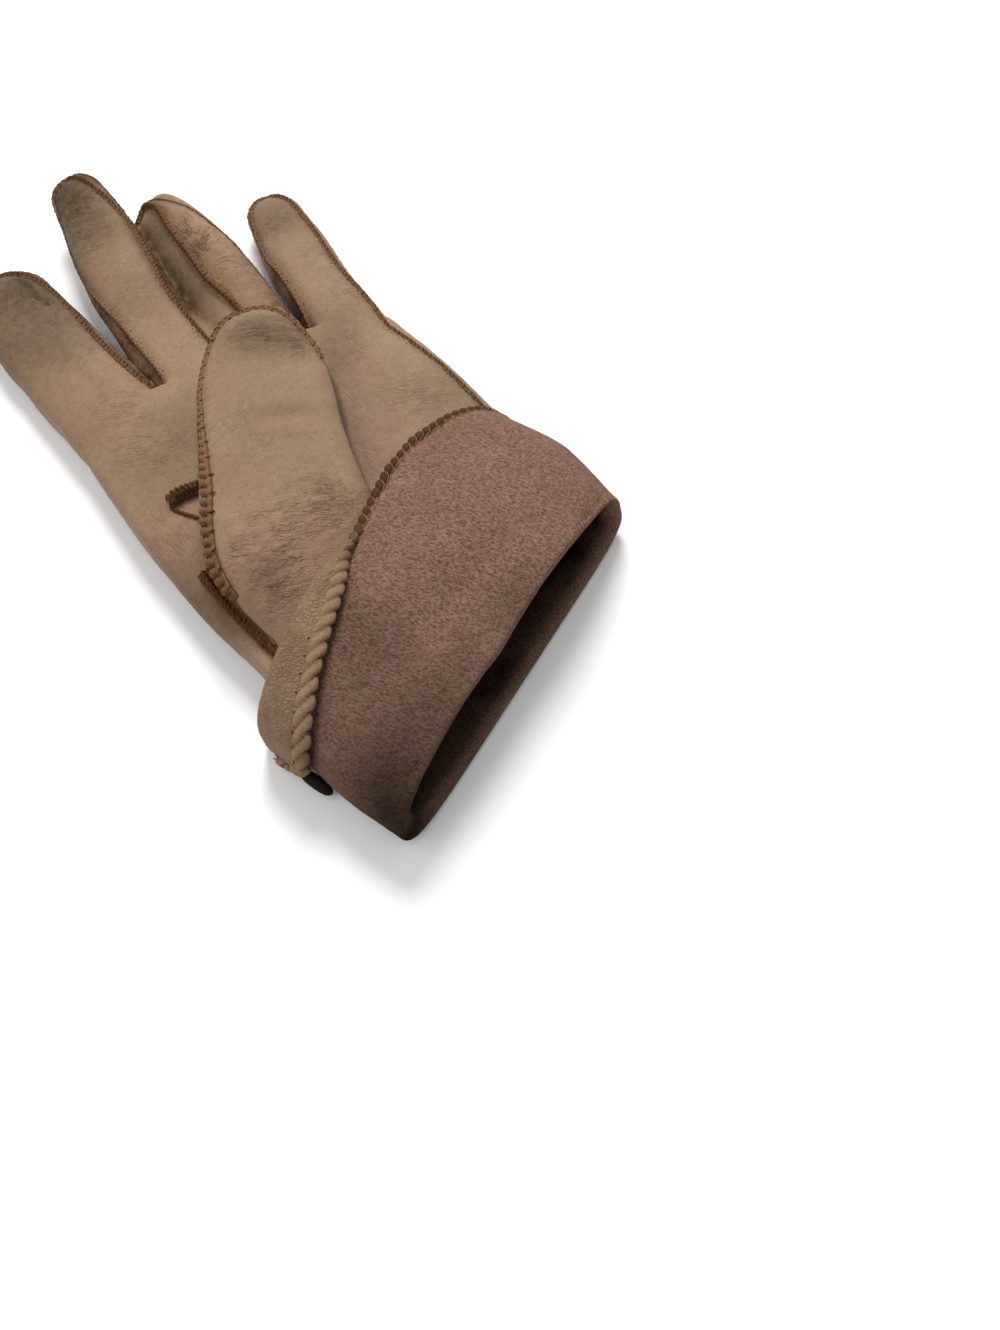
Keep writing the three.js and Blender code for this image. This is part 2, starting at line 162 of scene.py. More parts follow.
BACK_SEAMS = {
    "index right": [(0.7, -26), (2, -26), (3, -20), (3.4, -5), (3.7, 30), (3.9, 88)],
    "middle left": [(0.6, 208), (2, 210), (3, 208), (3.5, 194), (3.8, 150), (3.94, 95)],
    "middle right": [(0.95, -22), (2, -24), (2.8, -22), (3.2, -12), (3.5, 5), (3.75, 35), (3.93, 82)],
    "ring left": [(0.95, 210), (2, 214), (3, 212), (3.5, 194), (3.8, 150), (3.92, 98)],
    "ring right": [(0.9, -4), (1.44, -6), (2.0, -9), (2.6, -3), (3.06, 6), (3.35, 28), (3.6, 48),
                   (3.8, 66), (3.92, 86)],
    "little left": [(0.8, 208), (2, 206), (3, 203), (3.5, 190), (3.8, 150), (3.94, 96)],
}
FORKS = {
    "fork_index_middle": ("index right", "middle left"),
    "fork_middle_ring": ("middle right", "ring left"),
    "fork_ring_little": ("ring right", "little left"),
}
# How big the palm's seam stands on each stretch, and how raw it looks all over
PALM_STRETCHES = {
    "side": (0.40, 0.3), "little right": (0.46, 0.4), "little left": (0.34, 0.3),
    "ring right": (0.92, 0.5), "ring left": (0.75, 0.5), "middle right": (0.46, 0.5),
    "middle left": (0.30, 0.3), "index right": (0.55, 0.6), "index end": (0.36, 0.5),
}
# The side seam below the little finger, by place and turn on the hand
SIDE_SEAM = [(2.2, 20), (2.96, 20), (3.76, 19), (4.25, 21), (4.75, 23), (5.1, 25)]
# The thumb's own seam, by place and turn on it
THUMB_SEAM = [(1.5, 178), (1.85, 172), (2.11, 160), (2.45, 152), (2.85, 157), (3.23, 161), (3.6, 163),
              (4.0, 166), (4.36, 165), (4.54, 154), (4.7, 143), (4.81, 126), (4.87, 104), (4.91, 80),
              (4.85, 58), (4.68, 42), (4.52, 29), (4.32, 16), (4.1, 8)]
# The thumb's edge on the little finger's side, along which a thin painted shadow lies on the palm
THUMB_EDGE = [(1.5, 0), (2.4, 0), (3.2, 0), (4.0, 0), (4.5, 6)]
IN_PLAN = np.array([1.0, 1.0, 0.0])
# Where the thumb is set into the palm, and the two edges of the quirk, in plan, and the heights over the
# skin that they are laid on it from
PLAN_HEIGHT, LIP_HEIGHT = 13.0, 13.5
SET_IN = [(3.4, 27.0), (3.2, 19.2), (3.3, 11.3), (3.8, 4.6), (4.4, -1.6), (6.0, -8.0)]
QUIRK_EDGES = [
    [(8.0, 48.2), (10.4, 48.6), (13.2, 48.0), (17.4, 46.2)],
    [(7.4, 47.0), (8.5, 44.6), (9.8, 41.6), (11.6, 37.8)],
]

# Groups of creases in plan: x, y, turn in degrees, length, spread across, count, depth, width
SKIN_CREASES = [
    [19.2, 133.8, -80, 17, 1.0, 2, 0.55, 0.9],
    [19.3, 123.9, -78, 13, 5.0, 9, 0.16, 0.55],
    [15.0, 103.8, 12, 15, 6.0, 7, 0.14, 0.7],
    [43.6, 149.4, -34, 11, 4.0, 9, 0.24, 0.6],
    [40.6, 138.6, -28, 13, 4.5, 10, 0.20, 0.6],
    [37.0, 112.0, -20, 13, 5.0, 6, 0.12, 0.7],
    [60.8, 116.0, -108, 15, 1.4, 3, 0.34, 0.6],
    [63.4, 111.1, -132, 9, 1.2, 3, 0.30, 0.6],
    [65.5, 100.0, -30, 9, 6.0, 7, 0.14, 0.6],
    [47.1, 88.5, -60, 9, 3.0, 8, 0.20, 0.55],
    [89.1, 91.6, -22, 12, 5.0, 9, 0.20, 0.6],
    [86.0, 76.0, -25, 12, 5.0, 8, 0.18, 0.6],
    [84.0, 112.0, -40, 8, 3.0, 6, 0.16, 0.6],
    [13.6, 65.3, -50, 19, 6.0, 8, 0.16, 0.7],
    [15.7, 81.6, -27, 13, 5.0, 9, 0.16, 0.6],
    [60.1, 45.3, -115, 13, 4.0, 7, 0.14, 0.7],
    [53.7, 27.4, -86, 14, 4.0, 8, 0.14, 0.7],
    [70.0, 60.0, -80, 11, 5.0, 8, 0.14, 0.7],
    [76.0, 36.0, -30, 16, 7.0, 8, 0.14, 0.8],
    [4.0, 40.0, -80, 16, 4.0, 6, 0.16, 0.8],
]
THUMB_CREASES = [
    [53.0, 67.0, -36, 17, 4.0, 13, 0.24, 0.6],
    [57.5, 59.0, -40, 9, 3.0, 6, 0.22, 0.6],
    [41.0, 41.7, -28, 24, 1.6, 2, 0.26, 2.4],
    [39.1, 35.1, -27, 16, 1.6, 2, 0.16, 2.0],
    [18.0, 14.3, -16, 15, 7.0, 14, 0.24, 0.7],
    [30.0, 17.0, -20, 14, 6.0, 12, 0.20, 0.7],
    [13.0, 6.1, -10, 11, 4.0, 7, 0.26, 0.8],
    [12.0, 17.0, -50, 9, 3.0, 5, 0.30, 0.9],
    [38.7, 17.4, -60, 10, 4.0, 7, 0.18, 0.7],
]
CUFF_CREASES = [
    [78.0, 8.0, -70, 12, 3.0, 4, 0.35, 1.4],
    [84.0, -6.0, -50, 12, 6.0, 6, 0.22, 1.2],
    [30.0, -4.0, -60, 10, 5.0, 7, 0.22, 1.0],
    [52.0, -6.0, -40, 16, 8.0, 8, 0.18, 1.2],
    [20.0, -32.0, -50, 12, 8.0, 6, 0.20, 1.3],
    [60.0, -20.0, -30, 16, 8.0, 7, 0.20, 1.3],
]

# Soft waves of the leather and the cuff: height, size, seed
LEATHER_WAVES = [(0.30, 17, 1), (0.15, 7, 2), (0.05, 2.6, 3)]
CUFF_WAVES = [(0.42, 19, 5), (0.26, 8, 6), (0.07, 3, 7)]
PUCKER_PITCH = 2.6

# The cuff's leather as a grid: its columns, and the rows of its inside, fold, outside and flipped edge
CUFF_COLUMNS = 320
INSIDE_ROWS, FOLD_ROWS, BODY_ROWS, LAPEL_ROWS = 22, 13, 62, 34
# Half of its thickness, its clearance from the hand, and the way out of the glove's mouth
CUFF_HALF, CUFF_CLEARANCE = 0.5, 1.3
MOUTHWARDS = np.array([0.31, -0.95, 0.0])
# How far the fold and the flipped edge's start lie back from the edge
FOLD_BACK, LAPEL_BACK = 38.0, 1.8
# How deep the edge is flipped over at each turn, in degrees
LAPEL_TURNS = [90, 96, 106, 117, 137, 159, 175, 186, 193, 199]
LAPEL_DEPTHS = [0.0, 0.8, 3.2, 6.0, 9.8, 13.4, 14.5, 11.0, 5.0, 0.0]
# The way over the edge where it is flipped and where it is plain: how far back and how high over the cuff.
# Then the shares of the flipped edge that roll over and that lie flat
LAPEL_ROLL = [(1.8, -0.5), (0.0, -0.5), (-1.7, 0.2), (-2.2, 1.7), (-1.2, 3.0), (0.6, 3.4)]
PLAIN_EDGE = [(1.8, -0.5), (1.5, -0.5), (1.2, -0.5), (0.9, -0.5), (0.6, -0.5), (0.3, -0.5)]
ROLLED, FLAT = 0.55, 0.45

# Along the thumb's seam and along the quirk's lip: (share of the line, value)
THUMB_SEAM_SIZES = [(0, 1.3), (0.28, 1.2), (0.38, 0.8), (0.46, 0.5), (1, 0.42)]
THUMB_PITCHES = [(0, 2.5), (0.36, 2.5), (0.48, 2.0), (1, 2.1)]
THUMB_RAWNESS = [(0, 0.6), (0.25, 0.15), (0.4, 0), (1, 0)]
LIP_SIZES = [(0, 1.1), (0.15, 1.6), (0.85, 1.7), (1, 1.4)]

# The hem's rope, and its threads' ways over it: inwards, up, forwards
ROPE_SIDES, ROPE_STEP = 18, 0.24
RUNNING = [(-0.75, 0.25, 0), (-0.30, 0.66, 0.1), (0.30, 0.80, 0.4), (0.85, 0.74, 0.9), (1.05, 0.62, 1.5),
           (1.10, 0.60, 2.1), (1.12, 0.58, 2.8)]
WOUND = [(-1.25, -0.1, -2.4), (-0.5, 0.42, -1.65), (0.4, 0.72, -0.7), (1.2, 0.78, 0.12), (2.1, 0.62, 1.06),
         (3.0, 0.22, 2.0), (3.5, -0.3, 2.5)]

# The camera: its sensor in millimetres, its focal length and the picture's height in the same measure, its
# tilt down and swing in degrees, its height in metres, and the point of the floor that it looks at
SENSOR, FOCAL, PICTURE_HEIGHT = 36.0, 1050, 1330
TILT, SWING, CAMERA_HEIGHT = 63, -41, 0.2223
AIM = [44.0, -33.2, 0.0]
# The sky's strength, the floor's size in metres, and the lamps: name, place, size, power, tint
SKY_STRENGTH, FLOOR_SIZE = 0.52, 6.0
LAMPS = [
    ("key", (0.50, 0.62, 0.85), 0.45, 13.5, (1.0, 0.985, 0.96)),
    ("fill", (-0.55, 0.10, 0.70), 1.1, 3.2, (0.97, 0.985, 1.0)),
]

# The turns of the three nets of fine creases in the leather's finish
CREASE_TURNS = (-30, -84, 30)
# Blots of colour in plan: x, y, reach, strength
BLUSH = [
    [14, 88, 13, 0.8], [34, 126, 6, 0.5], [66, 108, 9, 0.25], [82, 117, 6, 0.4], [57, 32, 13, 0.9],
    [70, 50, 8, 0.5], [3, 40, 9, 0.6], [9, 47, 6, 0.6], [40, 92, 8, 0.3], [92, 70, 9, 0.3],
]
# Soil towards the fingertips and in some blots, and painted shade on the ring finger's palm side and along
# the valley between the middle and ring fingers, where shade falls
SOIL_AND_SHADE = [
    [15, 137, 16, 0.86], [8, 121, 17, 0.55], [16, 112, 10, 0.35], [43, 157, 15, 1.0],
    [43, 143, 9, 0.5], [88, 114, 10, 0.62], [59, 128, 9, 0.5], [54, 112, 9, 0.45], [53, 100, 7, 0.35],
    [24, 62, 12, 0.3], [-2, 20, 14, 0.6], [8, 60, 9, 0.3], [76, 66, 9, 0.35], [62, 57, 7, 0.3],
    [80, 30, 12, 0.25], [56, 40, 10, 0.2], [53.4, 133, 3, 0.7], [51.9, 127, 3.4, 0.9],
    [51, 121, 3.6, 0.9], [50.4, 115, 3.6, 0.9], [49.8, 109, 3.6, 0.9], [49.2, 103.5, 3.4, 0.8],
]
THUMB_BLUSH = [[14, 16, 9, 0.9], [28, 6, 14, 0.7], [40, 36, 11, 0.3], [20, 30, 8, 0.35]]
THUMB_SOIL = [
    [51, 69, 8, 0.6], [57, 61, 7, 0.5], [12, 10, 5, 0.5], [30, 50, 7, 0.15], [38, 38, 14, 0.10],
]
FORK_BLUSH = [[66, 112, 12, 0.2]]
# Rough darker leather, and painted shade in the crotches between the fingers and in the gap beside the
# middle finger
FORK_SOIL_AND_SHADE = [
    [32, 116, 6, 0.8], [31, 103, 8, 1.0], [28, 88, 10, 1.0], [24, 122, 9, 0.8], [22, 140, 9, 0.5],
    [75.5, 97, 3.5, 1.0], [72, 83, 8, 1.0], [52, 120, 6, 0.9], [50.5, 110, 7, 1.0],
    [49.5, 101, 6, 1.0], [48.5, 112, 4, 1.0], [48.5, 103, 4, 1.0], [49.8, 118, 4, 1.0],
    [53, 133, 7, 0.8], [54.5, 146, 7, 0.8], [53.5, 158, 6, 0.8],
]
CUFF_BLUSH = [[62, -2, 20, 0.9], [84, 0, 14, 0.7], [36, -12, 12, 0.5]]
CUFF_STREAKS = [[66, -8, 26, 1.0], [44, -18, 18, 0.9], [20, -12, 14, 0.7], [86, 0, 14, 0.8]]
# Painted shade on the suede: darker towards the bottom corner and along the lower side by the mouth
CUFF_SHADE = [
    [-1, -53, 13, 1.0], [4, -44, 12, 0.5], [22, -46, 12, 0.5], [8, -34, 16, 0.25], [50, -42, 12, 0.5],
    [18, -18, 10, 0.35],
]
# Painted shade where the hem's end goes under the cuff
HEM_SHADE = [[-5.5, -32.5, 4.5, 1.0]]
# The end of the flipped edge, tucked under the cuff, and how full the roll is at each point. The roll is
# near black, as painted shadow under the cuff
TUCKED_EDGE = [(-8.2, -25.5, 4.2), (-7.5, -28.0, 4.0), (-6.9, -30.0, 3.6), (-6.4, -31.6, 3.1),
               (-6.1, -32.8, 2.7), (-5.9, -33.6, 2.4), (-5.8, -34.0, 2.3)]
TUCKED_SWELL = [0.5, 0.9, 1.0, 0.95, 0.8, 0.5, 0.15]


def smooth(value, low, high):
    """0 below low, 1 above high and a soft step between."""
    share = np.clip((value - low) / (high - low), 0, 1)
    return share * share * (3 - 2 * share)


def bell(value, width, power=2):
    """1 at 0, falling off to 0 beyond the width. A higher power makes it flatter and steeper."""
    return np.exp(-((value / width) ** power))


def between(rows, place):
    """A smooth curve through the rows, at places counted in rows."""
    rows, place = np.asarray(rows, float), np.asarray(place, float)
    last = len(rows) - 1
    i = np.clip(np.floor(place).astype(int), 0, last - 1)
    f = (place - i)[..., None]
    a, b, c, d = (rows[np.clip(i + k, 0, last)] for k in (-1, 0, 1, 2))
    return b + 0.5 * f * (c - a + f * (2 * a - 5 * b + 4 * c - d + f * (3 * (b - c) + d - a)))


def pillow(turn, fullness):
    """The outline of a flattened tube at a turn round it: across and up, each from -1 to 1."""
    across = np.cos(turn)
    above = np.mod(turn, 2 * np.pi) < np.pi
    power = np.where(above, fullness, UNDER_FULLNESS)
    up = np.maximum(0, 1 - np.abs(across) ** power) ** (1 / power)
    return across, np.where(above, up, -up)


def turned(x, y, degrees):
    """Distances along and across a direction."""
    c, s = math.cos(math.radians(degrees)), math.sin(math.radians(degrees))
    return x * c + y * s, y * c - x * s


def hollow_at(hollows, x, y):
    """How deep a table of hollows is at some points."""
    total = np.zeros(np.shape(x))
    for hx, hy, degrees, length, width, depth in hollows:
        along, across = turned(x - hx, y - hy, degrees)
        total = total + depth * np.exp(-((along / length) ** 2) - (across / width) ** 2)
    return total


def edge_points(form, place, turn, inset=0.0, ahead=0.0):
    """Points of the hand or the cuff, moved inwards by inset and towards the fingers by ahead."""
    rows, hollows, fullness = form
    xl, yl, xr, yr, low, side, high, bow, lean = np.moveaxis(between(rows, place), -1, 0)
    width = np.hypot(xr - xl, yr - yl)
    sx, sy = (xr - xl) / width, (yr - yl) / width
    across, up = pillow(turn, fullness)
    reach = across * (width / 2 - inset)
    rise = np.where(up > 0, high - side, side - low) - inset
    forward = bow * (1 - across**2) + lean * (up + 1) / 2 + ahead
    x = (xl + xr) / 2 + sx * reach - sy * forward
    y = (yl + yr) / 2 + sy * reach + sx * forward
    z = side + rise * up - np.maximum(up, 0) * hollow_at(hollows, x, y)
    return np.stack([x, y, np.maximum(z, np.maximum(inset, 0.0))], -1)


def heading(rows, place):
    """The way a finger points at a place, as an angle from the pattern's Y."""
    a, b = between(rows, np.asarray(place) - 0.05), between(rows, np.asarray(place) + 0.05)
    return -np.arctan2(b[..., 0] - a[..., 0], b[..., 1] - a[..., 1])


def tip_share(rows):
    """The rounded end of a finger as a share of its last span."""
    return rows[-1, 3] * TIP_ROUNDNESS / math.hypot(*(rows[-1, :2] - rows[-2, :2]))


def tube_points(rows, place, turn, inset=0.0):
    """Points of a finger, rounded off at its tip."""
    place = np.asarray(place, float)
    x, y, z, width, high, roll = np.moveaxis(between(rows, place), -1, 0)
    t, r = heading(rows, place), np.radians(roll)
    share = tip_share(rows)
    past = np.clip((place - (len(rows) - 1 - share)) / share, 0, 1)
    scale = np.sqrt(np.maximum(0, 1 - past**2))
    across, up = pillow(turn, FINGER_FULLNESS)
    u, v = across * (width / 2 - inset) * scale, up * (high / 2 - inset) * scale
    side = u * np.cos(r) - v * np.sin(r)
    height = z + u * np.sin(r) + v * np.cos(r)
    height = np.maximum(height, max(inset, 0.0))
    return np.stack([x + np.cos(t) * side, y + np.sin(t) * side, height], -1)


def tube_places(rows, body, tip, inset=0.0):
    """Places of a finger's rings: evenly along it, and closer towards the end of its tip."""
    share = tip_share(rows)
    end = len(rows) - 1 - inset / ROW_SPAN
    turns = np.linspace(0, math.pi / 2, tip + 2)[1:-1]
    return np.concatenate([np.linspace(0, end - share, body), end - share * (1 - np.sin(turns))])


def turns_round(count):
    """Even turns round a ring, in radians."""
    return np.linspace(0, 2 * np.pi, count, endpoint=False)


# Large odd numbers that stir the bits of a cell's number, and the bits that are kept
STIR = (374761393, 668265263, 1442695041, 974634777, 1274126177)
WORD, HALF_WORD = 0xFFFFFFFF, 0xFFFF


def drift(points, size, seed):
    """Smooth noise from -1 to 1 with features about size across, the same on every run."""
    p = np.asarray(points, float) / size
    cell = np.floor(p).astype(np.int64)
    f = p - cell
    f = f**3 * (f * (f * 6 - 15) + 10)
    total = np.zeros(len(p))
    for corner in np.ndindex(2, 2, 2):
        i, j, k = (cell + corner).T
        n = (i * STIR[0] + j * STIR[1] + k * STIR[2] + seed * STIR[3]) & WORD
        n = ((n ^ (n >> 13)) * STIR[4]) & WORD
        value = ((n ^ (n >> 16)) & HALF_WORD) / (HALF_WORD / 2) - 1
        weight = np.prod(np.where(corner, f, 1 - f), axis=1)
        total += weight * value
    return total


def waves(points, table):
    """Soft uneven waves from a table of (height, size, seed)."""
    return sum(height * drift(points, size, seed) for height, size, seed in table)


def strokes(groups, seed):
    """Single creases of each group, as short bent lines with a depth and a width."""
    rng = np.random.default_rng(seed)
    lines = []
    for x, y, turn, length, spread, count, depth, width in groups:
        for i in range(int(count)):
            a = math.radians(turn + rng.normal(0, 9))
            way, aside = np.array([math.cos(a), math.sin(a)]), np.array([-math.sin(a), math.cos(a)])
            offset = spread * (2 * (i + 0.5) / count - 1 + rng.normal(0, 0.15))
            middle = np.array([x, y]) + aside * offset + way * rng.normal(0, length * 0.14)
            half = length * rng.uniform(0.28, 0.5)
            bend = aside * rng.normal(0, length * 0.07)
            t = np.linspace(-1, 1, 9)[:, None]
            line = middle + way * half * t + bend * (1 - t * t)
            deep = depth * rng.uniform(0.5, 1.1) * (1.0 if count < 4 else 0.45)
            lines.append((line, deep, width * rng.uniform(0.9, 1.4)))
    return lines


def crease_depth(points, groups, seed=11):
    """How far each point sinks into the creases; beside a crease the leather rises a little."""
    total = np.zeros(len(points))
    for line, depth, width in strokes(groups, seed):
        reach = 4 * width
        low, high = line.min(0) - reach, line.max(0) + reach
        near = np.nonzero(((points[:, :2] > low) & (points[:, :2] < high)).all(1))[0]
        if not len(near):
            continue
        p = points[near, :2]
        best = np.full(len(near), 1e9)
        along = np.zeros(len(near))
        for k in range(len(line) - 1):
            a, d = line[k], line[k + 1] - line[k]
            t = np.clip(((p - a) @ d) / (d @ d), 0, 1)
            away = np.hypot(*(p - a - t[:, None] * d).T)
            nearer = away < best
            best = np.where(nearer, away, best)
            along = np.where(nearer, (k + t) / (len(line) - 1), along)
        fade = np.clip(np.minimum(along, 1 - along) * 3.5, 0.08, 1)
        dip = bell(best, width) - 0.4 * bell(best - 1.9 * width, width)
        total[near] += depth * fade * dip
    return total


def blots(points, table):
    """Soft blots of a stain at points, from 0 to 1."""
    clear = np.ones(len(points))
    for x, y, reach, strength in table:
        away = (points[:, 0] - x) ** 2 + (points[:, 1] - y) ** 2
        clear *= 1 - strength * np.exp(-away / reach**2)
    return 1 - clear


# Meshes

def to_row(points):
    """Points of the pattern in the row frame, in metres."""
    return (np.asarray(points) + ORIGIN) * MM


def link_mesh(name, points, faces):
    """A new smooth piece from points in millimetres on the pattern, with its faces turned outwards."""
    mesh = bpy.data.meshes.new(name)
    mesh.from_pydata(to_row(points).tolist(), [], [list(map(int, f)) for f in faces])
    mesh.polygons.foreach_set("use_smooth", [True] * len(mesh.polygons))
    mesh.update()
    piece = bpy.data.objects.new(name, mesh)
    bpy.context.collection.objects.link(piece)
    shape = bmesh.new()
    shape.from_mesh(mesh)
    bmesh.ops.recalc_face_normals(shape, faces=shape.faces)
    shape.to_mesh(mesh)
    shape.free()
    mesh.update()
    return piece


def read_points(piece):
    """Points and normals of a piece, the points in millimetres on the pattern."""
    mesh = piece.data
    points = np.empty(len(mesh.vertices) * 3)
    normals = np.empty(len(mesh.vertices) * 3)
    mesh.vertices.foreach_get("co", points)
    mesh.vertex_normals.foreach_get("vector", normals)
    return points.reshape(-1, 3) / MM - ORIGIN, normals.reshape(-1, 3)


def write_points(piece, points):
    """Moves the points of a piece to new places on the pattern."""
    piece.data.vertices.foreach_set("co", to_row(points).ravel())
    piece.data.update()


def paint(piece, **masks):
    """Writes masks that the finishes read, with a value for each point."""
    for name, values in masks.items():
        layer = piece.data.attributes.get(name) or piece.data.attributes.new(name, "FLOAT", "POINT")
        layer.data.foreach_set("value", np.asarray(values, np.float32))


def grid_faces(rows, columns, start=0):
    """Quads over a grid of points, closed round its columns."""
    i, j = np.meshgrid(np.arange(rows - 1), np.arange(columns), indexing="ij")
    here, ahead, beside = i * columns + start, (i + 1) * columns + start, (j + 1) % columns
    return np.stack([here + j, here + beside, ahead + beside, ahead + j], -1).reshape(-1, 4).tolist()


def ring_faces(rows, columns):
    """Quads over a grid of points that closes both ways."""
    last = (rows - 1) * columns
    closing = [[last + j, last + (j + 1) % columns, (j + 1) % columns, j] for j in range(columns)]
    return grid_faces(rows, columns) + closing


def closed_loft(rings, start=0):
    """Points and faces of a closed skin through rings, with a fan of triangles at each end."""
    rows, columns = rings.shape[:2]
    points = rings.reshape(-1, 3)
    faces = grid_faces(rows, columns, start)
    ends = np.array([rings[0].mean(0), rings[-1].mean(0)])
    first, second = start + len(points), start + len(points) + 1
    for j in range(columns):
        k = (j + 1) % columns
        faces.append([start + k, start + j, first])
        faces.append([start + (rows - 1) * columns + j, start + (rows - 1) * columns + k, second])
    return np.concatenate([points, ends]), faces


def lofted(name, lofts):
    """One piece from several closed lofts."""
    points, faces, start = [], [], 0
    for rings in lofts:
        p, f = closed_loft(rings, start)
        points.append(p)
        faces += f
        start += len(p)
    return link_mesh(name, np.concatenate(points), faces)


def circles(first, second, sides):
    """Points round a circle for each pair of ways square to each other, as shares of its radius."""
    turn = turns_round(sides)[:, None]
    return first[..., None, :] * np.cos(turn) + second[..., None, :] * np.sin(turn)


def rings_of(points_at, places, sides):
    """Rings at some places along a form."""
    place, turn = np.meshgrid(places, turns_round(sides), indexing="ij")
    return points_at(place, turn)


def finger_rings(name, body, tip, sides, inset=0.0):
    """Rings of a finger: body of them along it, tip of them round its end."""
    rows = FINGERS[name]
    return rings_of(lambda p, t: tube_points(rows, p, t, inset), tube_places(rows, body, tip, inset), sides)


def voxel_skin(piece, size):
    """Runs the parts of a piece together into one skin of small even faces."""
    finish_modifier(piece, "REMESH", mode="VOXEL", voxel_size=size, use_smooth_shade=True)


def finish_modifier(piece, kind, **settings):
    """Adds a modifier and applies it at once."""
    bpy.ops.object.select_all(action="DESELECT")
    bpy.context.view_layer.objects.active = piece
    piece.select_set(True)
    modifier = piece.modifiers.new(kind.lower(), kind)
    for key, value in settings.items():
        setattr(modifier, key, value)
    bpy.ops.object.modifier_apply(modifier=modifier.name)


def carve(piece, cutter):
    """Cuts the room of another piece out of a piece."""
    finish_modifier(piece, "BOOLEAN", object=cutter, operation="DIFFERENCE", solver="MANIFOLD")


def surface_of(*names):
    """The skins of some pieces as one tree, to lay seams on."""
    points, faces = [], []
    for name in names:
        mesh = bpy.data.objects[name].data
        start = len(points)
        points += [v.co for v in mesh.vertices]
        faces += [[start + i for i in p.vertices] for p in mesh.polygons]
    return BVHTree.FromPolygons(points, faces)


def laid_on(tree, points):
    """Points moved onto a skin, with the skin's way out at each."""
    found = [tree.find_nearest(Vector(p)) for p in to_row(points)]
    places, normals = (np.array([f[i] for f in found]) for i in (0, 1))
    return places / MM - ORIGIN, normals


def unit(vectors):
    """The same directions with a length of 1."""
    return vectors / np.maximum(np.linalg.norm(vectors, axis=-1, keepdims=True), 1e-9)


def softened(values, times, closed=False):
    """A run of values, each drawn towards its neighbours."""
    for _ in range(times):
        padded = np.pad(values, ((1, 1), (0, 0)), mode="wrap" if closed else "edge")
        values = (padded[:-2] + 2 * values + padded[2:]) / 4
    return values


def lengths_to(points):
    """How far along the line through them each point is."""
    return np.concatenate([[0], np.cumsum(np.linalg.norm(np.diff(points[:, :3], axis=0), axis=1))])


def evenly(points, step):
    """A line through points, with points at even steps. Columns past the third are carried along."""
    lengths = lengths_to(points)
    at = np.linspace(0, lengths[-1], max(int(lengths[-1] / step), 2) + 1)
    return np.stack([np.interp(at, lengths, column) for column in points.T], -1)


def finely(table, steps):
    """A smooth curve through the rows of a table, with steps from each row to the next."""
    return between(np.array(table, float), np.linspace(0, len(table) - 1, (len(table) - 1) * steps + 1))


def on_finger(name, table):
    """A smooth line on a finger through a table of places and turns."""
    fine = finely(table, 12)
    return tube_points(FINGERS[name.split()[0]], fine[:, 0], np.radians(fine[:, 1]))


def on_hand(table):
    """A smooth line on the hand through a table of places and turns."""
    fine = finely(table, 12)
    return edge_points(HAND, fine[:, 0], np.radians(fine[:, 1]))


def in_plan(table, height):
    """A smooth line through points of the plan, all at one height."""
    fine = finely(table, 8)
    return np.column_stack([fine, np.full(len(fine), height)])


def palm_line():
    """The long seam on the palm's side, up the little finger's side and round every finger, with its size
    and rawness in a fourth and a fifth column."""
    rows = []
    for name, look in PALM_STRETCHES.items():
        line = on_hand(SIDE_SEAM) if name == "side" else on_finger(name, PALM_SEAMS[name])
        if name.endswith("left") or name == "index end":
            line = line[::-1]
        rows.append(np.column_stack([line, np.tile(look, (len(line), 1))]))
    line = evenly(np.concatenate(rows), SEAM_STEP)
    line[:, 3:] = softened(line[:, 3:], 30)
    return line


def back_lines():
    """The seams on the back's side, one round each crotch."""
    return [
        evenly(np.concatenate([on_finger(a, BACK_SEAMS[a])[::-1], on_finger(b, BACK_SEAMS[b])]), 0.6)
        for a, b in FORKS.values()
    ]


class Tied:
    """Distances from points to seams, and how far along the seam each is."""

    def __init__(self, lines):
        points = np.concatenate(lines)
        self.along = np.concatenate([np.arange(len(line)) * SEAM_STEP for line in lines])
        self.tree = KDTree(len(points))
        for i, p in enumerate(points):
            self.tree.insert(p, i)
        self.tree.balance()

    def __call__(self, points):
        found = [self.tree.find(p) for p in points]
        return np.array([f[2] for f in found]), self.along[[f[1] for f in found]]


def leather_relief(points, normals, creases, tied):
    """How far soft leather stands out from its plain form."""
    away, along = tied(points)
    relief = waves(points, LEATHER_WAVES)
    relief -= crease_depth(points, creases) * smooth(normals[:, 2], -0.1, 0.35)
    # Puckers at the stitches, and a furrow beside the seam
    relief += 0.10 * np.cos(2 * np.pi * along / PUCKER_PITCH) * bell(away, 2.4)
    relief -= 0.30 * bell(away - 1.2, 1.2)
    return relief * smooth(points[:, 2], 0.4, 3.0)


# Materials

# What shades darken a colour towards
WARM_SHADE = (0.13, 0.062, 0.024, 1.0)


def colour(red, green, blue):
    """A colour as it is seen, from 0 to 255, turned into the renderer's own numbers."""
    seen = np.array([red, green, blue]) / 255
    linear = np.where(seen <= 0.04045, seen / 12.92, ((seen + 0.055) / 1.055) ** 2.4)
    return (*linear.tolist(), 1.0)


class Wire:
    """A socket of a material, with arithmetic written as on paper."""

    def __init__(self, finish, socket):
        self.finish, self.socket = finish, socket

    def _maths(self, operation, first, second):
        return self.finish.node("ShaderNodeMath", {"operation": operation}, {0: first, 1: second})

    def __add__(self, other):
        return self._maths("ADD", self, other)

    __radd__ = __add__

    def __sub__(self, other):
        return self._maths("SUBTRACT", self, other)

    def __rsub__(self, other):
        return self._maths("SUBTRACT", other, self)

    def __mul__(self, other):
        return self._maths("MULTIPLY", self, other)

    def between(self, low, high):
        """0 at low, 1 at high."""
        return self.finish.node("ShaderNodeMapRange", {"interpolation_type": "SMOOTHSTEP"},
                                {"Value": self, "From Min": low, "From Max": high})


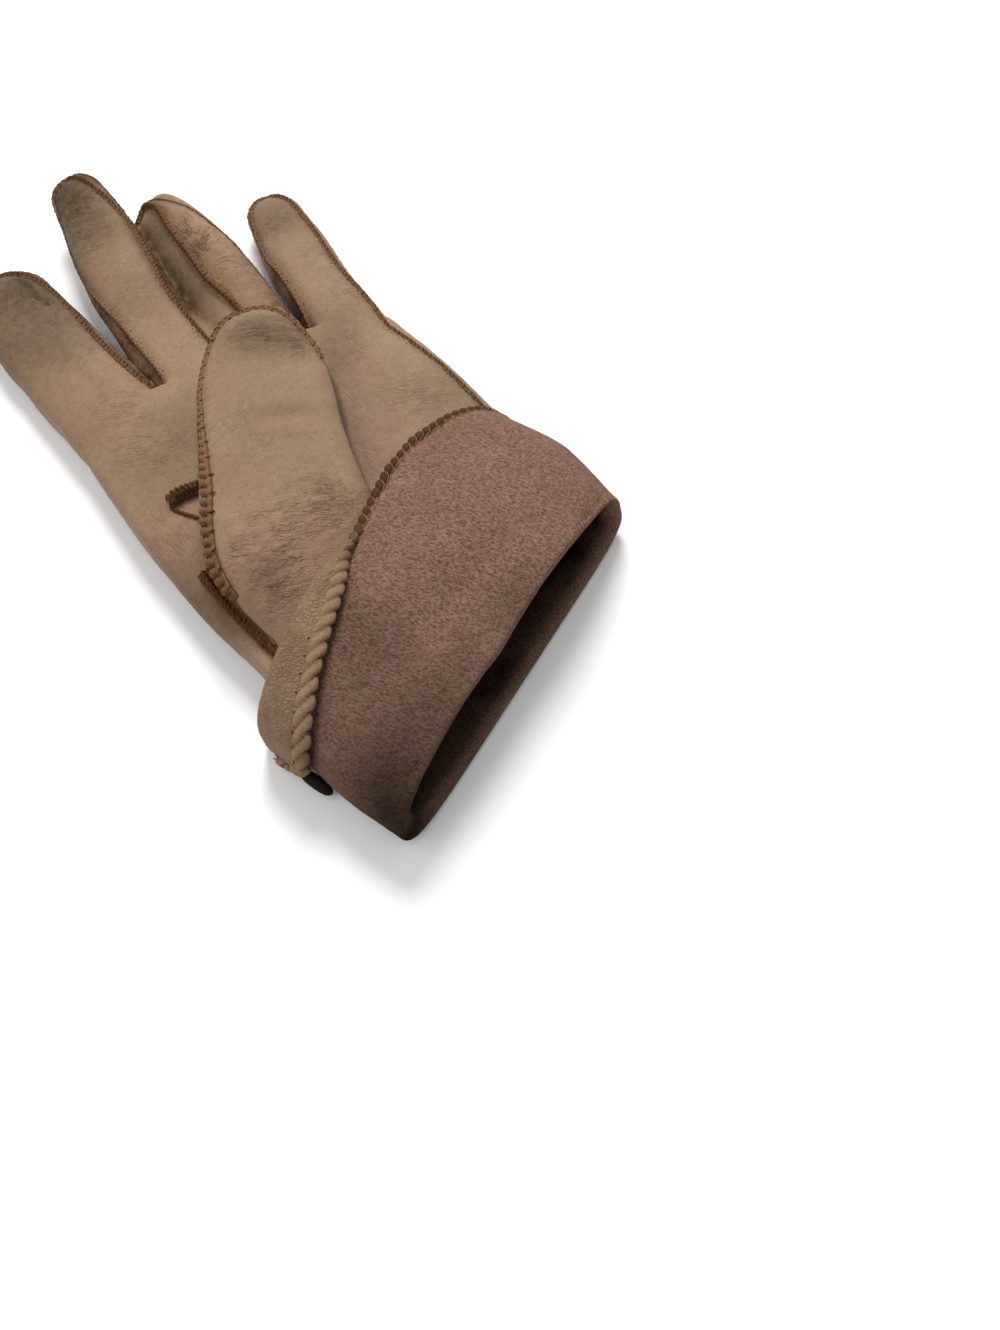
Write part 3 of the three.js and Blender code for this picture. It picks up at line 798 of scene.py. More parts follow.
class Finish:
    """A material in the making."""

    def __init__(self, name, roughness, specular=0.16):
        self.material = bpy.data.materials.new(name)
        self.material.use_nodes = True
        self.tree = self.material.node_tree
        self.surface = next(n for n in self.tree.nodes if n.type == "BSDF_PRINCIPLED")
        self.surface.inputs["Roughness"].default_value = roughness
        self.surface.inputs["Specular IOR Level"].default_value = specular
        self.place = self.node("ShaderNodeTexCoord", output="Object")

    def node(self, kind, settings=None, inputs=None, output=0):
        """A new node with its settings and inputs, as a wire from one of its outputs."""
        node = self.tree.nodes.new(kind)
        for key, value in (settings or {}).items():
            if key == "stops":
                ramp = node.color_ramp
                while len(ramp.elements) < len(value):
                    ramp.elements.new(0.5)
                for element, (at, shade) in zip(ramp.elements, value):
                    element.position, element.color = at, shade
            else:
                setattr(node, key, value)
        for key, value in (inputs or {}).items():
            if isinstance(value, Wire):
                self.tree.links.new(value.socket, node.inputs[key])
            else:
                node.inputs[key].default_value = value
        return Wire(self, node.outputs[output])

    def stretched(self, turn, stretch, wander):
        """The place, with patterns drawn out along a turn about Z and bent by a wander in millimetres."""
        bend = self.node("ShaderNodeTexNoise", inputs={"Vector": self.place, "Scale": 260.0}, output="Color")
        bent = self.node("ShaderNodeVectorMath", {"operation": "MULTIPLY_ADD"}, {
            0: bend, 1: (wander * MM,) * 3, 2: self.place})
        return self.node("ShaderNodeMapping", {"vector_type": "TEXTURE"}, {
            "Vector": bent, "Rotation": (0, 0, math.radians(turn)), "Scale": (stretch, 1.0, 1.0)})

    def noise(self, size, detail=3.0, at=None, rough=0.5):
        """Noise with features about size millimetres across."""
        return self.node("ShaderNodeTexNoise", inputs={
            "Vector": at or self.place, "Scale": 1 / (size * MM), "Detail": detail, "Roughness": rough})

    def cracks(self, size, at):
        """Distance to the nearest crack of a net with cells about size millimetres across."""
        return self.node("ShaderNodeTexVoronoi", {"feature": "DISTANCE_TO_EDGE"},
                         {"Vector": at, "Scale": 1 / (size * MM)})

    def mask(self, name):
        return self.node("ShaderNodeAttribute", {"attribute_name": name}, output="Fac")

    def mix(self, first, second, share):
        return self.node("ShaderNodeMix", {"data_type": "RGBA"}, {0: share, 6: first, 7: second}, output=2)

    def shade(self, base, *shades):
        """A colour darkened by some shades, each a share and the most it darkens by."""
        for share, amount in shades:
            base = self.node("ShaderNodeMix", {"data_type": "RGBA", "blend_type": "MULTIPLY"},
                             {0: share * amount, 6: base, 7: WARM_SHADE}, output=2)
        return base

    def done(self, base, bump, depth, roughness=None):
        """Joins the colour, a relief of some depth in millimetres and the roughness to the surface."""
        relief = self.node("ShaderNodeBump", inputs={
            "Height": bump, "Distance": depth * MM, "Strength": 1.0}, output="Normal")
        for name, wire in (("Base Color", base), ("Roughness", roughness), ("Normal", relief)):
            if wire is not None:
                self.tree.links.new(wire.socket, self.surface.inputs[name])
        return self.material


def kid_leather(name, tone, light, blush_tone, soil_and_shade_tone, rough=0.0):
    """Smooth grain leather: mottled, pinkish in places, soiled towards the tips, finely creased where it
    bends.
    Its colour also holds painted shade: beside the seams, under the thumb's edge, in the creases and where
    the soil mask holds shade. The sizes of its patterns are in millimetres."""
    f = Finish(name, 0.6)
    cloud = f.noise(19, 4).between(0.36, 0.66)
    fleck = f.noise(1.5, 5, rough=0.7)
    pores = f.noise(0.5, 3, rough=0.7)
    patchy = f.noise(3.4, 3).between(0.30, 0.62)
    # A faint net all over, then three nets of creases where the masks ask for them
    net = 1 - f.cracks(1.6, f.stretched(10, 1.8, 2.6)).between(0.0, 0.11)
    net = net * f.noise(9, 3).between(0.44, 0.70) * 0.35
    for i, turn in enumerate(CREASE_TURNS):
        way = f.stretched(turn, 5.5, 2.2)
        lines = 1 - f.cracks(0.75, way).between(0.02, 0.16)
        broad = 1 - f.cracks(1.6, way).between(0.01, 0.15)
        net = (lines * 0.65 + broad * 0.75) * patchy * f.mask("fine_%d" % i) + net
    blush = f.mask("blush") * (0.35 + f.noise(4.5, 4).between(0.3, 0.7) * 0.65)
    blush = blush + f.noise(12, 3).between(0.55, 0.8) * 0.25
    # The soil mask darkens with soil and with painted shade
    soil = f.mask("soil") * (0.86 + (f.noise(2.2, 5, rough=0.7) - 0.5) * 1.0)
    base = f.mix(f.mix(f.mix(tone, light, cloud), blush_tone, blush), soil_and_shade_tone, soil)
    grainy = (1 - fleck).between(0.38, 0.72) * 0.6 + (1 - pores).between(0.40, 0.68) * 0.8
    # Painted shade beside the seams and under the thumb's edge, and in the crease lines and nets; then the
    # grain's own specks
    base = f.shade(base, (f.mask("seam"), 0.85), (f.mask("crease_line").between(0.20, 0.50), 0.34),
                   (net, 0.33), (grainy, 0.25))
    if rough:
        base = f.shade(base, ((1 - fleck).between(0.42, 0.62) * f.mask("soil"), rough))
    bump = pores * 0.35 + fleck * 0.5 - net * 1.5
    return f.done(base, bump, 0.13 + 0.2 * rough, 0.54 + fleck * 0.16 + soil * 0.08)


def suede(name):
    """The flesh side: short nap with fine dark pits in streaks, brown to mauve, with painted shade darker
    towards the bottom corner, near black inside the mouth and darker along the hem. The grain side, where
    the edge is flipped over, is finely pebbled."""
    f = Finish(name, 0.95, 0.06)
    cloud = f.noise(14, 4).between(0.35, 0.68)
    olive = f.noise(9, 4).between(0.45, 0.70)
    nap = f.noise(0.46, 3, f.stretched(-62, 2.0, 1.2), 0.72)
    clump = f.noise(1.6, 4, f.stretched(-62, 1.6, 2.2), 0.7)
    blush, grain, soil = f.mask("blush"), f.mask("grain"), f.mask("soil")
    base = f.mix(colour(140, 108, 93), colour(153, 121, 104), cloud)
    base = f.mix(base, colour(150, 116, 107), blush * 0.85)
    base = f.mix(base, colour(141, 115, 90), olive * (0.8 - blush * 0.5))
    # Near black where the soil mask asks: painted shade towards the bottom corner and inside the mouth
    base = f.mix(base, colour(27, 15, 8), soil * (0.78 + cloud * 0.22))
    pits = (1 - nap).between(0.40, 0.63) * (0.8 + f.mask("streaky") * 0.2)
    base = f.shade(base, (pits, 0.66), ((1 - clump).between(0.42, 0.70), 0.16))
    # The grain side
    pebbles = f.cracks(0.8, f.stretched(-40, 1.5, 2.4))
    fleck = f.noise(1.4, 5, rough=0.72)
    skin = f.shade(f.mix(colour(134, 110, 87), colour(147, 122, 97), cloud), (soil, 0.35),
                   (1 - pebbles.between(0.0, 0.2), 0.22), ((1 - fleck).between(0.40, 0.66), 0.18))
    # Painted shade along the hem, from the seam mask
    base = f.shade(f.mix(base, skin, grain), (f.mask("seam"), 0.35))
    bump = (nap * 1.3 + clump) * (1 - grain) + (pebbles.between(0.0, 0.3) * 0.35 + fleck * 0.8) * grain
    return f.done(base, bump, 0.55, 0.94 - grain * 0.32)


def raw_edge(name, tone, raw_tone):
    """A seam's standing edges: grain on the flanks, rough brown leather along the top, and painted shade in
    the pinches between the stitches and where the hem goes under the cuff.
    """
    f = Finish(name, 0.7, 0.08)
    fleck = f.noise(0.8, 4, rough=0.75)
    pinch = f.mask("pinch")
    base = f.mix(tone, raw_tone, f.mask("edge") * (0.7 + fleck * 0.5))
    base = f.shade(base, ((1 - fleck).between(0.35, 0.7), 0.32))
    # Painted shade in the pinches between the stitches, and dark from the soil mask where the hem goes under
    # the cuff
    base = f.shade(f.mix(base, raw_tone, pinch * 0.6), (pinch, 0.5), (f.mask("soil"), 0.9))
    return f.done(base, fleck + f.noise(0.4, 2) * 0.4, 0.16)


def waxed_thread(name, light, dark):
    """Twisted sewing thread."""
    f = Finish(name, 0.6, 0.08)
    twist = f.noise(0.5, 3, rough=0.7)
    base = f.mix(dark, light, (f.mask("strand") * 0.6 + twist * 0.6).between(0.2, 0.9))
    return f.done(base, twist, 0.1)


FINISHES = {}


# Each finish: how it is made, its material's name, its colours and how rough it is
RECIPES = {
    "grain": (kid_leather, "grain_leather", (137, 112, 88), (147, 123, 98), (143, 109, 92), (63, 48, 28)),
    "fork": (kid_leather, "fork_leather", (138, 109, 85), (149, 121, 95), (134, 98, 78), (74, 47, 27), 0.5),
    "suede": (suede, "suede_side"),
    "edge": (raw_edge, "seam_edges", (126, 97, 69), (84, 52, 28)),
    "hem": (raw_edge, "hem_edges", (146, 121, 94), (70, 44, 24)),
    "thread": (waxed_thread, "seam_thread", (94, 61, 32), (48, 27, 12)),
    # Near black: painted shade of the needle holes
    "hole": (waxed_thread, "needle_hole", (46, 28, 14), (28, 16, 7)),
    # Near black: painted shadow where the flipped edge goes under the cuff
    "tucked": (waxed_thread, "tucked_leather", (24, 21, 16), (13, 11, 8)),
    "hem thread": (waxed_thread, "hem_thread", (138, 108, 77), (98, 70, 48)),
}


def finish_of(name):
    """A finish by its name, made once."""
    if name not in FINISHES:
        recipe, title, *rest = RECIPES[name]
        FINISHES[name] = recipe(title, *[colour(*one) if isinstance(one, tuple) else one for one in rest])
    return FINISHES[name]


def dress(piece, finish, slot, *nodes):
    """Gives a piece its finish and its body, and hides the solids it stands for. The slot is not used."""
    piece.data.materials.clear()
    piece.data.materials.append(finish_of(finish))
    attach(piece, "root")
    if nodes:
        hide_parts(*nodes)


# Seams

# The section of a standing seam: how far to the side, how high, and how raw the leather is there
HALF_RIDGE = [(1.5, -0.3, 0), (0.98, 0.2, 0), (0.74, 0.75, 0), (0.62, 1.25, 0.1), (0.34, 1.55, 0.8)]
RIDGE = [(-a, b, c) for a, b, c in HALF_RIDGE] + [(0.0, 1.38, 1)] + HALF_RIDGE[::-1]
# A thread's way over a seam: how far to the side, how high
HALF_WHIP = [(1.0, -0.3), (0.92, 0.55), (0.74, 1.35), (0.3, 1.68)]
WHIP = [(-a, b) for a, b in HALF_WHIP] + HALF_WHIP[::-1]
THREAD_OVER = 0.03
# How far the needle holes lie beside a seam, in turn
HOLES_ASIDE = (0.95, 1.3)


def level(value, share):
    """A number, a table of (share of the line, value) or a value for each point, as values at the shares."""
    if np.ndim(value) == 0:
        return np.full(len(share), float(value))
    if np.ndim(value) == 1:
        return value
    table = np.array(value)
    return np.interp(share, table[:, 0], table[:, 1])


class Seam:
    """A line sewn on a skin, with the ways along it, out of the skin and across it, and its stitches. lean
    is how far it leans over sideways, size and pitch are in millimetres, raw and top are its rawness all
    over and along its top."""

    def __init__(self, tree, line, lean=0.0, size=0.62, pitch=1.2, raw=0.0, top=1.0):
        self.step = np.linalg.norm(np.diff(line, axis=0), axis=1).mean()
        share = np.linspace(0, 1, len(line))
        base, out = laid_on(tree, line)
        self.base = softened(base, 3)
        out = unit(softened(out, 12))
        out = unit(out + level(lean, share)[:, None] * out * [1, 1, 0])
        self.along = unit(np.gradient(self.base, axis=0))
        self.across = unit(np.cross(self.along, out))
        self.out = unit(np.cross(self.across, self.along))
        self.size = level(size, share)
        self.raw, self.top = level(raw, share), top
        # How much the stitches pinch it: more where it is large
        self.squeeze = 0.25 + 0.6 * np.clip(self.size - 0.62, 0, 0.55)
        self.passed = np.cumsum(self.step / level(pitch, share))

    def stitches(self):
        """Where the stitches are, as indices of the line's points."""
        return np.nonzero(np.diff(np.floor(self.passed)) > 0)[0] + 1

    def ridge(self, seed):
        """Rings of the standing edges, pinched at each stitch, with their rawness and pinch."""
        rng = np.random.default_rng(seed)
        count = len(self.base)
        # Pinched at each stitch, waving a little in height, and low at both ends
        pinch = (0.5 + 0.5 * np.cos(2 * np.pi * self.passed)) ** 3
        knots = rng.uniform(0.86, 1.14, count // 9 + 2)
        wave = np.interp(np.arange(count), np.arange(len(knots)) * 9, knots)
        ends = np.clip(np.minimum(np.arange(count), np.arange(count)[::-1]) * self.step / 2.0, 0.15, 1)
        rings, raws, pinches = [], [], []
        for side, up, raw in RIDGE:
            wide = self.size * side * (1 - self.squeeze * pinch * (up > 0.5))
            tall = self.size * up * wave * ends * (1 - 0.7 * self.squeeze * pinch)
            tall = tall if up > 0 else np.full(count, up)
            rings.append(self.base + self.across * wide[:, None] + self.out * tall[:, None])
            raws.append(np.maximum(raw * self.top, self.raw * (up > 0)))
            pinches.append(pinch * (0.2 < up < 1.5))
        return clear_of_table(np.stack(rings, 1)), np.stack(raws, 1), np.stack(pinches, 1)

    def whips(self, seed, feet, slant=0.45, kept=1.0):
        """Whip stitches: each climbs one side of the seam, crosses the top and goes down the other. Their
        feet are near and far in turn. A share of them is kept, the rest has worn away."""
        rng = np.random.default_rng(seed)
        at = self.stitches()
        at = at[rng.uniform(0, 1, len(at)) < kept]
        lines = np.empty((len(at), len(WHIP), 3))
        long = np.where(np.arange(len(at)) % 2, *feet) * rng.uniform(0.94, 1.06, len(at))
        size, squeeze = self.size[at], self.squeeze[at]
        for k, (side, up) in enumerate(WHIP):
            out = size * up * (1 - 0.62 * squeeze) + THREAD_OVER if up > 0 else np.full(len(at), up)
            if up < 0:
                wide = long
            elif up < 1:
                wide = 1 + (long - 1) * 0.4 - squeeze
            else:
                wide = 1 - 0.9 * squeeze
            wide = size * side * wide
            lines[:, k] = (self.base[at] + self.across[at] * wide[:, None] + self.out[at] * out[:, None]
                           + self.along[at] * slant * side)
        return lines, self.along[at], 0.09 + 0.09 * size

    def holes(self, tree):
        """Places of the needle holes beside the seam, in two rows."""
        at = self.stitches()
        away = np.where(np.arange(len(at)) % 2, *HOLES_ASIDE)
        return laid_on(tree, self.base[at] - self.across[at] * away[:, None])


def clear_of_table(points, height=0.06):
    """Points raised to at least a height over the floor."""
    points[..., 2] = np.maximum(points[..., 2], height)
    return points


def ridges(name, seams, slot="kid_leather"):
    """One piece with the standing edges of several seams."""
    parts = [seam.ridge(i + 3) for i, seam in enumerate(seams)]
    piece = lofted(name, [rings for rings, _, _ in parts])
    for i, mask in enumerate(("edge", "pinch"), 1):
        paint(piece, **{mask: np.concatenate([np.append(part[i].ravel(), [0, 0]) for part in parts])})
    dress(piece, "edge", slot)


def tubes(name, lines, ways, radius, finish="thread", sides=4, swell=1.0, slot="thread"):
    """Short threads along lines of equally many points, with a radius for each. ways are roughly square to
    them. swell is the share of the radius along a thread."""
    count, steps = lines.shape[:2]
    radius = (np.broadcast_to(radius, count)[:, None] * np.broadcast_to(swell, steps))[:, :, None, None]
    tangent = unit(np.gradient(lines, axis=1))
    first = unit(np.cross(tangent, np.repeat(ways[:, None], steps, 1)))
    ring = circles(first, np.cross(tangent, first), sides)
    points = clear_of_table(lines[:, :, None] + ring * radius, 0.03)
    block = steps * sides
    caps = [list(range(sides))[::-1], [block - sides + j for j in range(sides)]]
    one = grid_faces(steps, sides) + caps
    faces = [[q + n * block for q in face] for n in range(count) for face in one]
    piece = link_mesh(name, points.reshape(-1, 3), faces)
    paint(piece, strand=np.repeat(np.random.default_rng(5).uniform(0, 1, count), block))
    dress(piece, finish, slot)


def whipped(name, whips):
    """One piece with the whip stitches of several seams."""
    tubes(name, *(np.concatenate(w) for w in zip(*whips)))


def studs(name, places, normals, radius):
    """Small low near-black domes at places, standing for needle holes: their dark colour is painted shade.
    """
    sides = 6
    first = unit(np.cross(normals, [0.3, 0.9, 0.1]))
    ring = circles(first, np.cross(normals, first), sides)
    points = np.concatenate([
        places[:, None] + ring * radius - normals[:, None] * 0.04,
        (places + normals * 0.05)[:, None],
        (places - normals * 0.20)[:, None],
    ], 1)
    faces = []
    for n in range(0, len(places) * (sides + 2), sides + 2):
        for j in range(sides):
            k = (j + 1) % sides
            faces += [[n + j, n + k, n + sides], [n + k, n + j, n + sides + 1]]
    piece = link_mesh(name, clear_of_table(points, 0.03).reshape(-1, 3), faces)
    paint(piece, strand=np.zeros(len(places) * (sides + 2)))
    dress(piece, "hole", "thread")


# Pieces

def measure(title, description, metres):
    """A size that the panel shows."""
    return FloatProperty(name=title, description=description, default=metres, unit="LENGTH")


class GloveSizes(bpy.types.PropertyGroup):
    """Sizes a maker would change."""

    voxel: measure("Fineness", "Size of the smallest faces of the skin", 0.00075)
    room_voxel: measure("Inner fineness", "Size of the faces of the inside", 0.0019)
    leather: measure("Leather", "Thickness of the leather", 0.0011)
    seam: FloatProperty(name="Seam", description="Size of the standing seams, 1 is usual", default=1.0)
    finger_pitch: measure("Finger stitches", "Length of a finger's stitches", 0.0015)
    hem_pitch: measure("Hem stitches", "Length of the hem's stitches", 0.0026)


class GloveColours(bpy.types.PropertyGroup):
    """Colours of the stage."""

    floor: FloatVectorProperty(name="Floor", description="Colour of the floor", subtype="COLOR", size=3,
                               default=(0.90, 0.90, 0.90), min=0, max=1)


def thumb_seam():
    """The line of the thumb's own seam."""
    return evenly(on_finger("thumb", THUMB_SEAM), SEAM_STEP)


def skin_seams():
    """All seams that lie on the skin of the hand and fingers."""
    return [palm_line()[:, :3]] + back_lines()


class GLOVE_OT_hand(bpy.types.Operator):
    """Makes the skin of the hand and fingers as one soft form"""

    bl_idname = "glove.hand"
    bl_label = "Hand and fingers"

    def execute(self, context):
        lofts = [rings_of(lambda p, t: edge_points(HAND, p, t), np.linspace(0.3, 6, 86), sides=120)]
        lofts += [finger_rings(name, body=60, tip=12, sides=72) for name in FINGER_NAMES]
        skin = lofted("hand_skin", lofts)
        voxel_skin(skin, context.scene.glove_sizes.voxel)
        finish_modifier(skin, "SMOOTH", factor=0.5, iterations=7)
        points, normals = read_points(skin)
        relief = leather_relief(points, normals, SKIN_CREASES, Tied(skin_seams()))
        # A hollow for the quirk
        quirk = np.hypot((points[:, 0] - 10.5) / 7.0, (points[:, 1] - 46.0) / 5.0)
        relief -= 0.9 * bell(quirk, 1) * smooth(normals[:, 2], 0, 0.5)
        write_points(skin, clear_of_table(points + normals * relief[:, None], 0.02))
        return {"FINISHED"}


class GLOVE_OT_thumb(bpy.types.Operator):
    """Makes the thumb, cut to fit the palm it is set into"""

    bl_idname = "glove.thumb"
    bl_label = "Thumb"

    def execute(self, context):
        thumb = lofted("thumb_skin", [finger_rings("thumb", body=230, tip=26, sides=190)])
        points, normals = read_points(thumb)
        relief = leather_relief(points, normals, THUMB_CREASES, Tied([thumb_seam()]))
        write_points(thumb, points + normals * relief[:, None])
        carve(thumb, bpy.data.objects["hand_skin"])
        stain(thumb, [thumb_seam()], THUMB_BLUSH, THUMB_SOIL, THUMB_CREASES)
        dress(thumb, "grain", "kid_leather", "thumb")
        return {"FINISHED"}


def tucked(points, tree, reach=6.0):
    """How deep points lie under the edge of another piece, from 0 to 1: a mask of painted shadow."""
    found = [tree.find_nearest(Vector(p), reach * MM)[3] for p in to_row(points)]
    return bell(np.array([reach if d is None else d / MM for d in found]), 2.7, 4)


def stain(piece, seams, blush, soil, creases, tuck=0.0):
    """Paints the masks that the leather's finish reads. Wide creases are folds in the form only.
    The seam mask is painted shade beside the seams and under the edges of other pieces, the soil blots hold
    soil and painted shade, and crease_line darkens the creases as painted shade.
    """
    points, normals = read_points(piece)
    away, _ = Tied(seams)(points)
    top = smooth(normals[:, 2], -0.2, 0.4)
    sharp = [c for c in creases if c[7] < 1.5]
    lines = np.clip(crease_depth(points, sharp) * 1.6, 0, 1) * top
    # The seam mask is painted shade beside the seams and under the edges of other pieces
    paint(piece, blush=blots(points, blush), soil=blots(points, soil),
          seam=np.maximum(0.42 * bell(away, 1.1), tuck), crease_line=lines)
    turns = np.array(CREASE_TURNS)
    masks = np.zeros((len(turns), len(points)))
    for x, y, turn, length, spread, _, depth, _ in sharp:
        nearest = np.argmin(np.abs((turns - turn + 90) % 180 - 90))
        along, across = turned(points[:, 0] - x, points[:, 1] - y, turn)
        along, across = along / (0.62 * length), across / (1.25 * spread + 1.5)
        mask = np.clip(4.5 * depth - 0.15, 0, 1) * np.exp(-(along**4) - across**2)
        masks[nearest] = np.maximum(masks[nearest], mask)
    for i, mask in enumerate(masks):
        paint(piece, **{"fine_%d" % i: mask * top})


class GLOVE_OT_hollow(bpy.types.Operator):
    """Hollows the hand and fingers out from the mouth"""

    bl_idname = "glove.hollow"
    bl_label = "Hollow"

    def execute(self, context):
        sizes = context.scene.glove_sizes
        wall = sizes.leather / MM
        # The first two rings stand out of the mouth, so that it is cut open
        places = np.concatenate([[-0.4, -0.2], np.linspace(0, 5.86, 40)])

        def inside(place, turn):
            points = edge_points(HAND, np.maximum(place, 0), turn, wall)
            return points + np.where(place < 0, -place, 0)[..., None] * ROW_SPAN * MOUTHWARDS

        lofts = [finger_rings(name, body=26, tip=5, sides=32, inset=wall) for name in FINGER_NAMES]
        room = lofted("room", [rings_of(inside, places, sides=56)] + lofts)
        voxel_skin(room, sizes.room_voxel)
        skin = bpy.data.objects["hand_skin"]
        carve(skin, room)
        bpy.data.objects.remove(room)
        points, _ = read_points(skin)
        # Painted shadow on the palm: a thin dark line beside the thumb's edge, and darker where the palm
        # lies under the thumb. It goes into the seam mask
        edge = evenly(on_finger("thumb", THUMB_EDGE), SEAM_STEP) * IN_PLAN
        beside, _ = Tied([edge])(points * IN_PLAN)
        under = 0.9 * bell(beside, 1.5, 4) * smooth(points[:, 2], 6.0, 9.0)
        under = np.maximum(under, tucked(points, surface_of("thumb_skin")))
        stain(skin, skin_seams(), BLUSH, SOIL_AND_SHADE, SKIN_CREASES, under)
        dress(skin, "grain", "kid_leather", "trank", *[n + "_finger" for n in FINGER_NAMES])
        return {"FINISHED"}


def sheet(flat, normals, shape, above, below):
    """Rings of a thin sheet of leather: out along its upper side and back along its lower side."""
    outer, inner = flat + normals * above, flat - normals * below
    return np.concatenate([outer.reshape(*shape, 3), inner.reshape(*shape, 3)[:, ::-1]], 1)


class GLOVE_OT_forks(bpy.types.Operator):
    """Lays the strips of leather between the fingers"""

    bl_idname = "glove.forks"
    bl_label = "Forks"

    def execute(self, context):
        tree = surface_of("hand_skin")
        for name, sides in FORKS.items():
            # Up one finger and down the other, from the back's seam to the palm's
            strip = []
            for side, flip in zip(sides, (True, False)):
                palm, back = (np.array(seams[side], float) for seams in (PALM_SEAMS, BACK_SEAMS))
                first, last = max(palm[0, 0] - 0.1, back[0, 0]), min(palm[-1, 0], back[-1, 0]) - 0.06
                places = np.linspace(first, last, 90)
                ends = [np.radians(np.interp(places, s[:, 0], s[:, 1])) for s in (back, palm)]
                share = np.linspace(0, 1, 15)
                turn = ends[0][:, None] * (1 - share) + ends[1][:, None] * share
                place = np.repeat(places[:, None], len(share), 1)
                grid = tube_points(FINGERS[side.split()[0]], place, turn)
                strip.append(grid[::-1] if flip else grid)
            grid = np.concatenate(strip)
            rows, columns = grid.shape[:2]
            flat, normals = laid_on(tree, grid.reshape(-1, 3))
            crown = np.tile(np.sin(np.pi * np.linspace(0, 1, columns)), rows)
            soft = 0.35 * crown + 0.12 * drift(flat, 5, 8)
            rings = sheet(flat, normals, (rows, columns), (0.25 + soft)[:, None], 0.3)
            piece = lofted(name + "_strip", [clear_of_table(rings, 0.05)])
            stain(piece, skin_seams(), FORK_BLUSH, FORK_SOIL_AND_SHADE, SKIN_CREASES[6:9])
            dress(piece, "fork", "fork_leather", name)
        return {"FINISHED"}


class GLOVE_OT_quirk(bpy.types.Operator):
    """Makes the quirk, the small kite of leather beside the thumb, with its folded seams"""

    bl_idname = "glove.quirk"
    bl_label = "Quirk"

    def execute(self, context):
        upper, lower = (in_plan(edge, PLAN_HEIGHT) for edge in QUIRK_EDGES)
        share = np.linspace(0, 1, 12)[None, :, None]
        grid = upper[:, None] * (1 - share) + lower[:, None] * share
        flat, normals = laid_on(surface_of("hand_skin"), grid.reshape(-1, 3))
        piece = lofted("quirk_kite", [sheet(flat, normals, grid.shape[:2], 0.3, 0.4)])
        edge = [evenly(upper, SEAM_STEP)]
        stain(piece, edge, [[12, 46, 8, 0.7]], [], [])
        # Painted shade: the slit under the lip is darkened through the soil and seam masks
        points, _ = read_points(piece)
        under_lip, _ = Tied(edge)(points * IN_PLAN + [0, 0, PLAN_HEIGHT])
        paint(piece, soil=bell(under_lip, 3.4, 4), seam=bell(under_lip, 2.8, 4))
        dress(piece, "fork", "fork_leather", "quirk")
        return {"FINISHED"}


def reach_ahead(turn):
    """How much further than its plain form the cuff's edge lies towards the fingers."""
    return np.interp(np.degrees(turn), [0, 23, 45, 62, 75, 96, 110, 360], [0, 0.3, 3.4, 4.6, 4.2, 1.0, 0, 0])


def cuff_points(turn, back, over):
    """Points of the cuff by their turn, their distance back from its edge and their height over it."""
    place = len(CUFF_ROWS) - 1 - np.maximum(back, 0) / ROW_SPAN
    ahead = np.maximum(-back, 0) + reach_ahead(turn) * smooth(place, 0.9, 2.0)
    return edge_points(CUFF, place, turn, -over, ahead)


def cuff_row(back, over):
    """A ring of the cuff, at one distance back from its edge and one height over it."""
    turn = turns_round(CUFF_COLUMNS)
    return cuff_points(turn, np.full_like(turn, back), np.full_like(turn, over))


def cuff_grid():
    """The cuff as a grid: from inside the mouth, round the fold, out to the edge and over the flipped edge.
    Gives the grid, how many rows come before the outside, and how far the edge is flipped at each turn."""
    turn = turns_round(CUFF_COLUMNS)
    inside = [edge_points(HAND, np.full_like(turn, p), turn, 1.25 + CUFF_HALF)
              for p in np.linspace(1.9, 0.04, INSIDE_ROWS)]
    outer = cuff_row(FOLD_BACK, -CUFF_HALF)
    middle, spread = (inside[-1] + outer) / 2, (inside[-1] - outer) / 2
    fold = [middle + spread * math.cos(a) + MOUTHWARDS * 1.6 * math.sin(a)
            for a in np.linspace(0, math.pi, FOLD_ROWS)[1:-1]]
    body = [cuff_row(b, -CUFF_HALF) for b in np.linspace(FOLD_BACK, LAPEL_BACK, BODY_ROWS)]
    depth = np.interp(np.degrees(turn), LAPEL_TURNS, LAPEL_DEPTHS)
    lift = smooth(depth, 0.0, 5.0)
    lapel = []
    for q in np.linspace(0, 1, LAPEL_ROWS)[1:]:
        if q < ROLLED:
            back, over = between(LAPEL_ROLL, q / ROLLED * 5)
        else:
            share = (q - ROLLED) / FLAT
            back = 0.6 + share * (np.maximum(depth, 1.2) - 0.6)
            over = 3.4 - 1.1 * share
        plain = between(PLAIN_EDGE, min(q * 5, 5)) if q < 0.95 else np.array([0.3 - 6 * (q - 0.95), -0.5])
        back, over = plain[0] + (back - plain[0]) * lift, plain[1] + (over - plain[1]) * lift
        lapel.append(cuff_points(turn, back, over))
    return np.stack(inside + fold + body + lapel), len(inside) + len(fold), lift


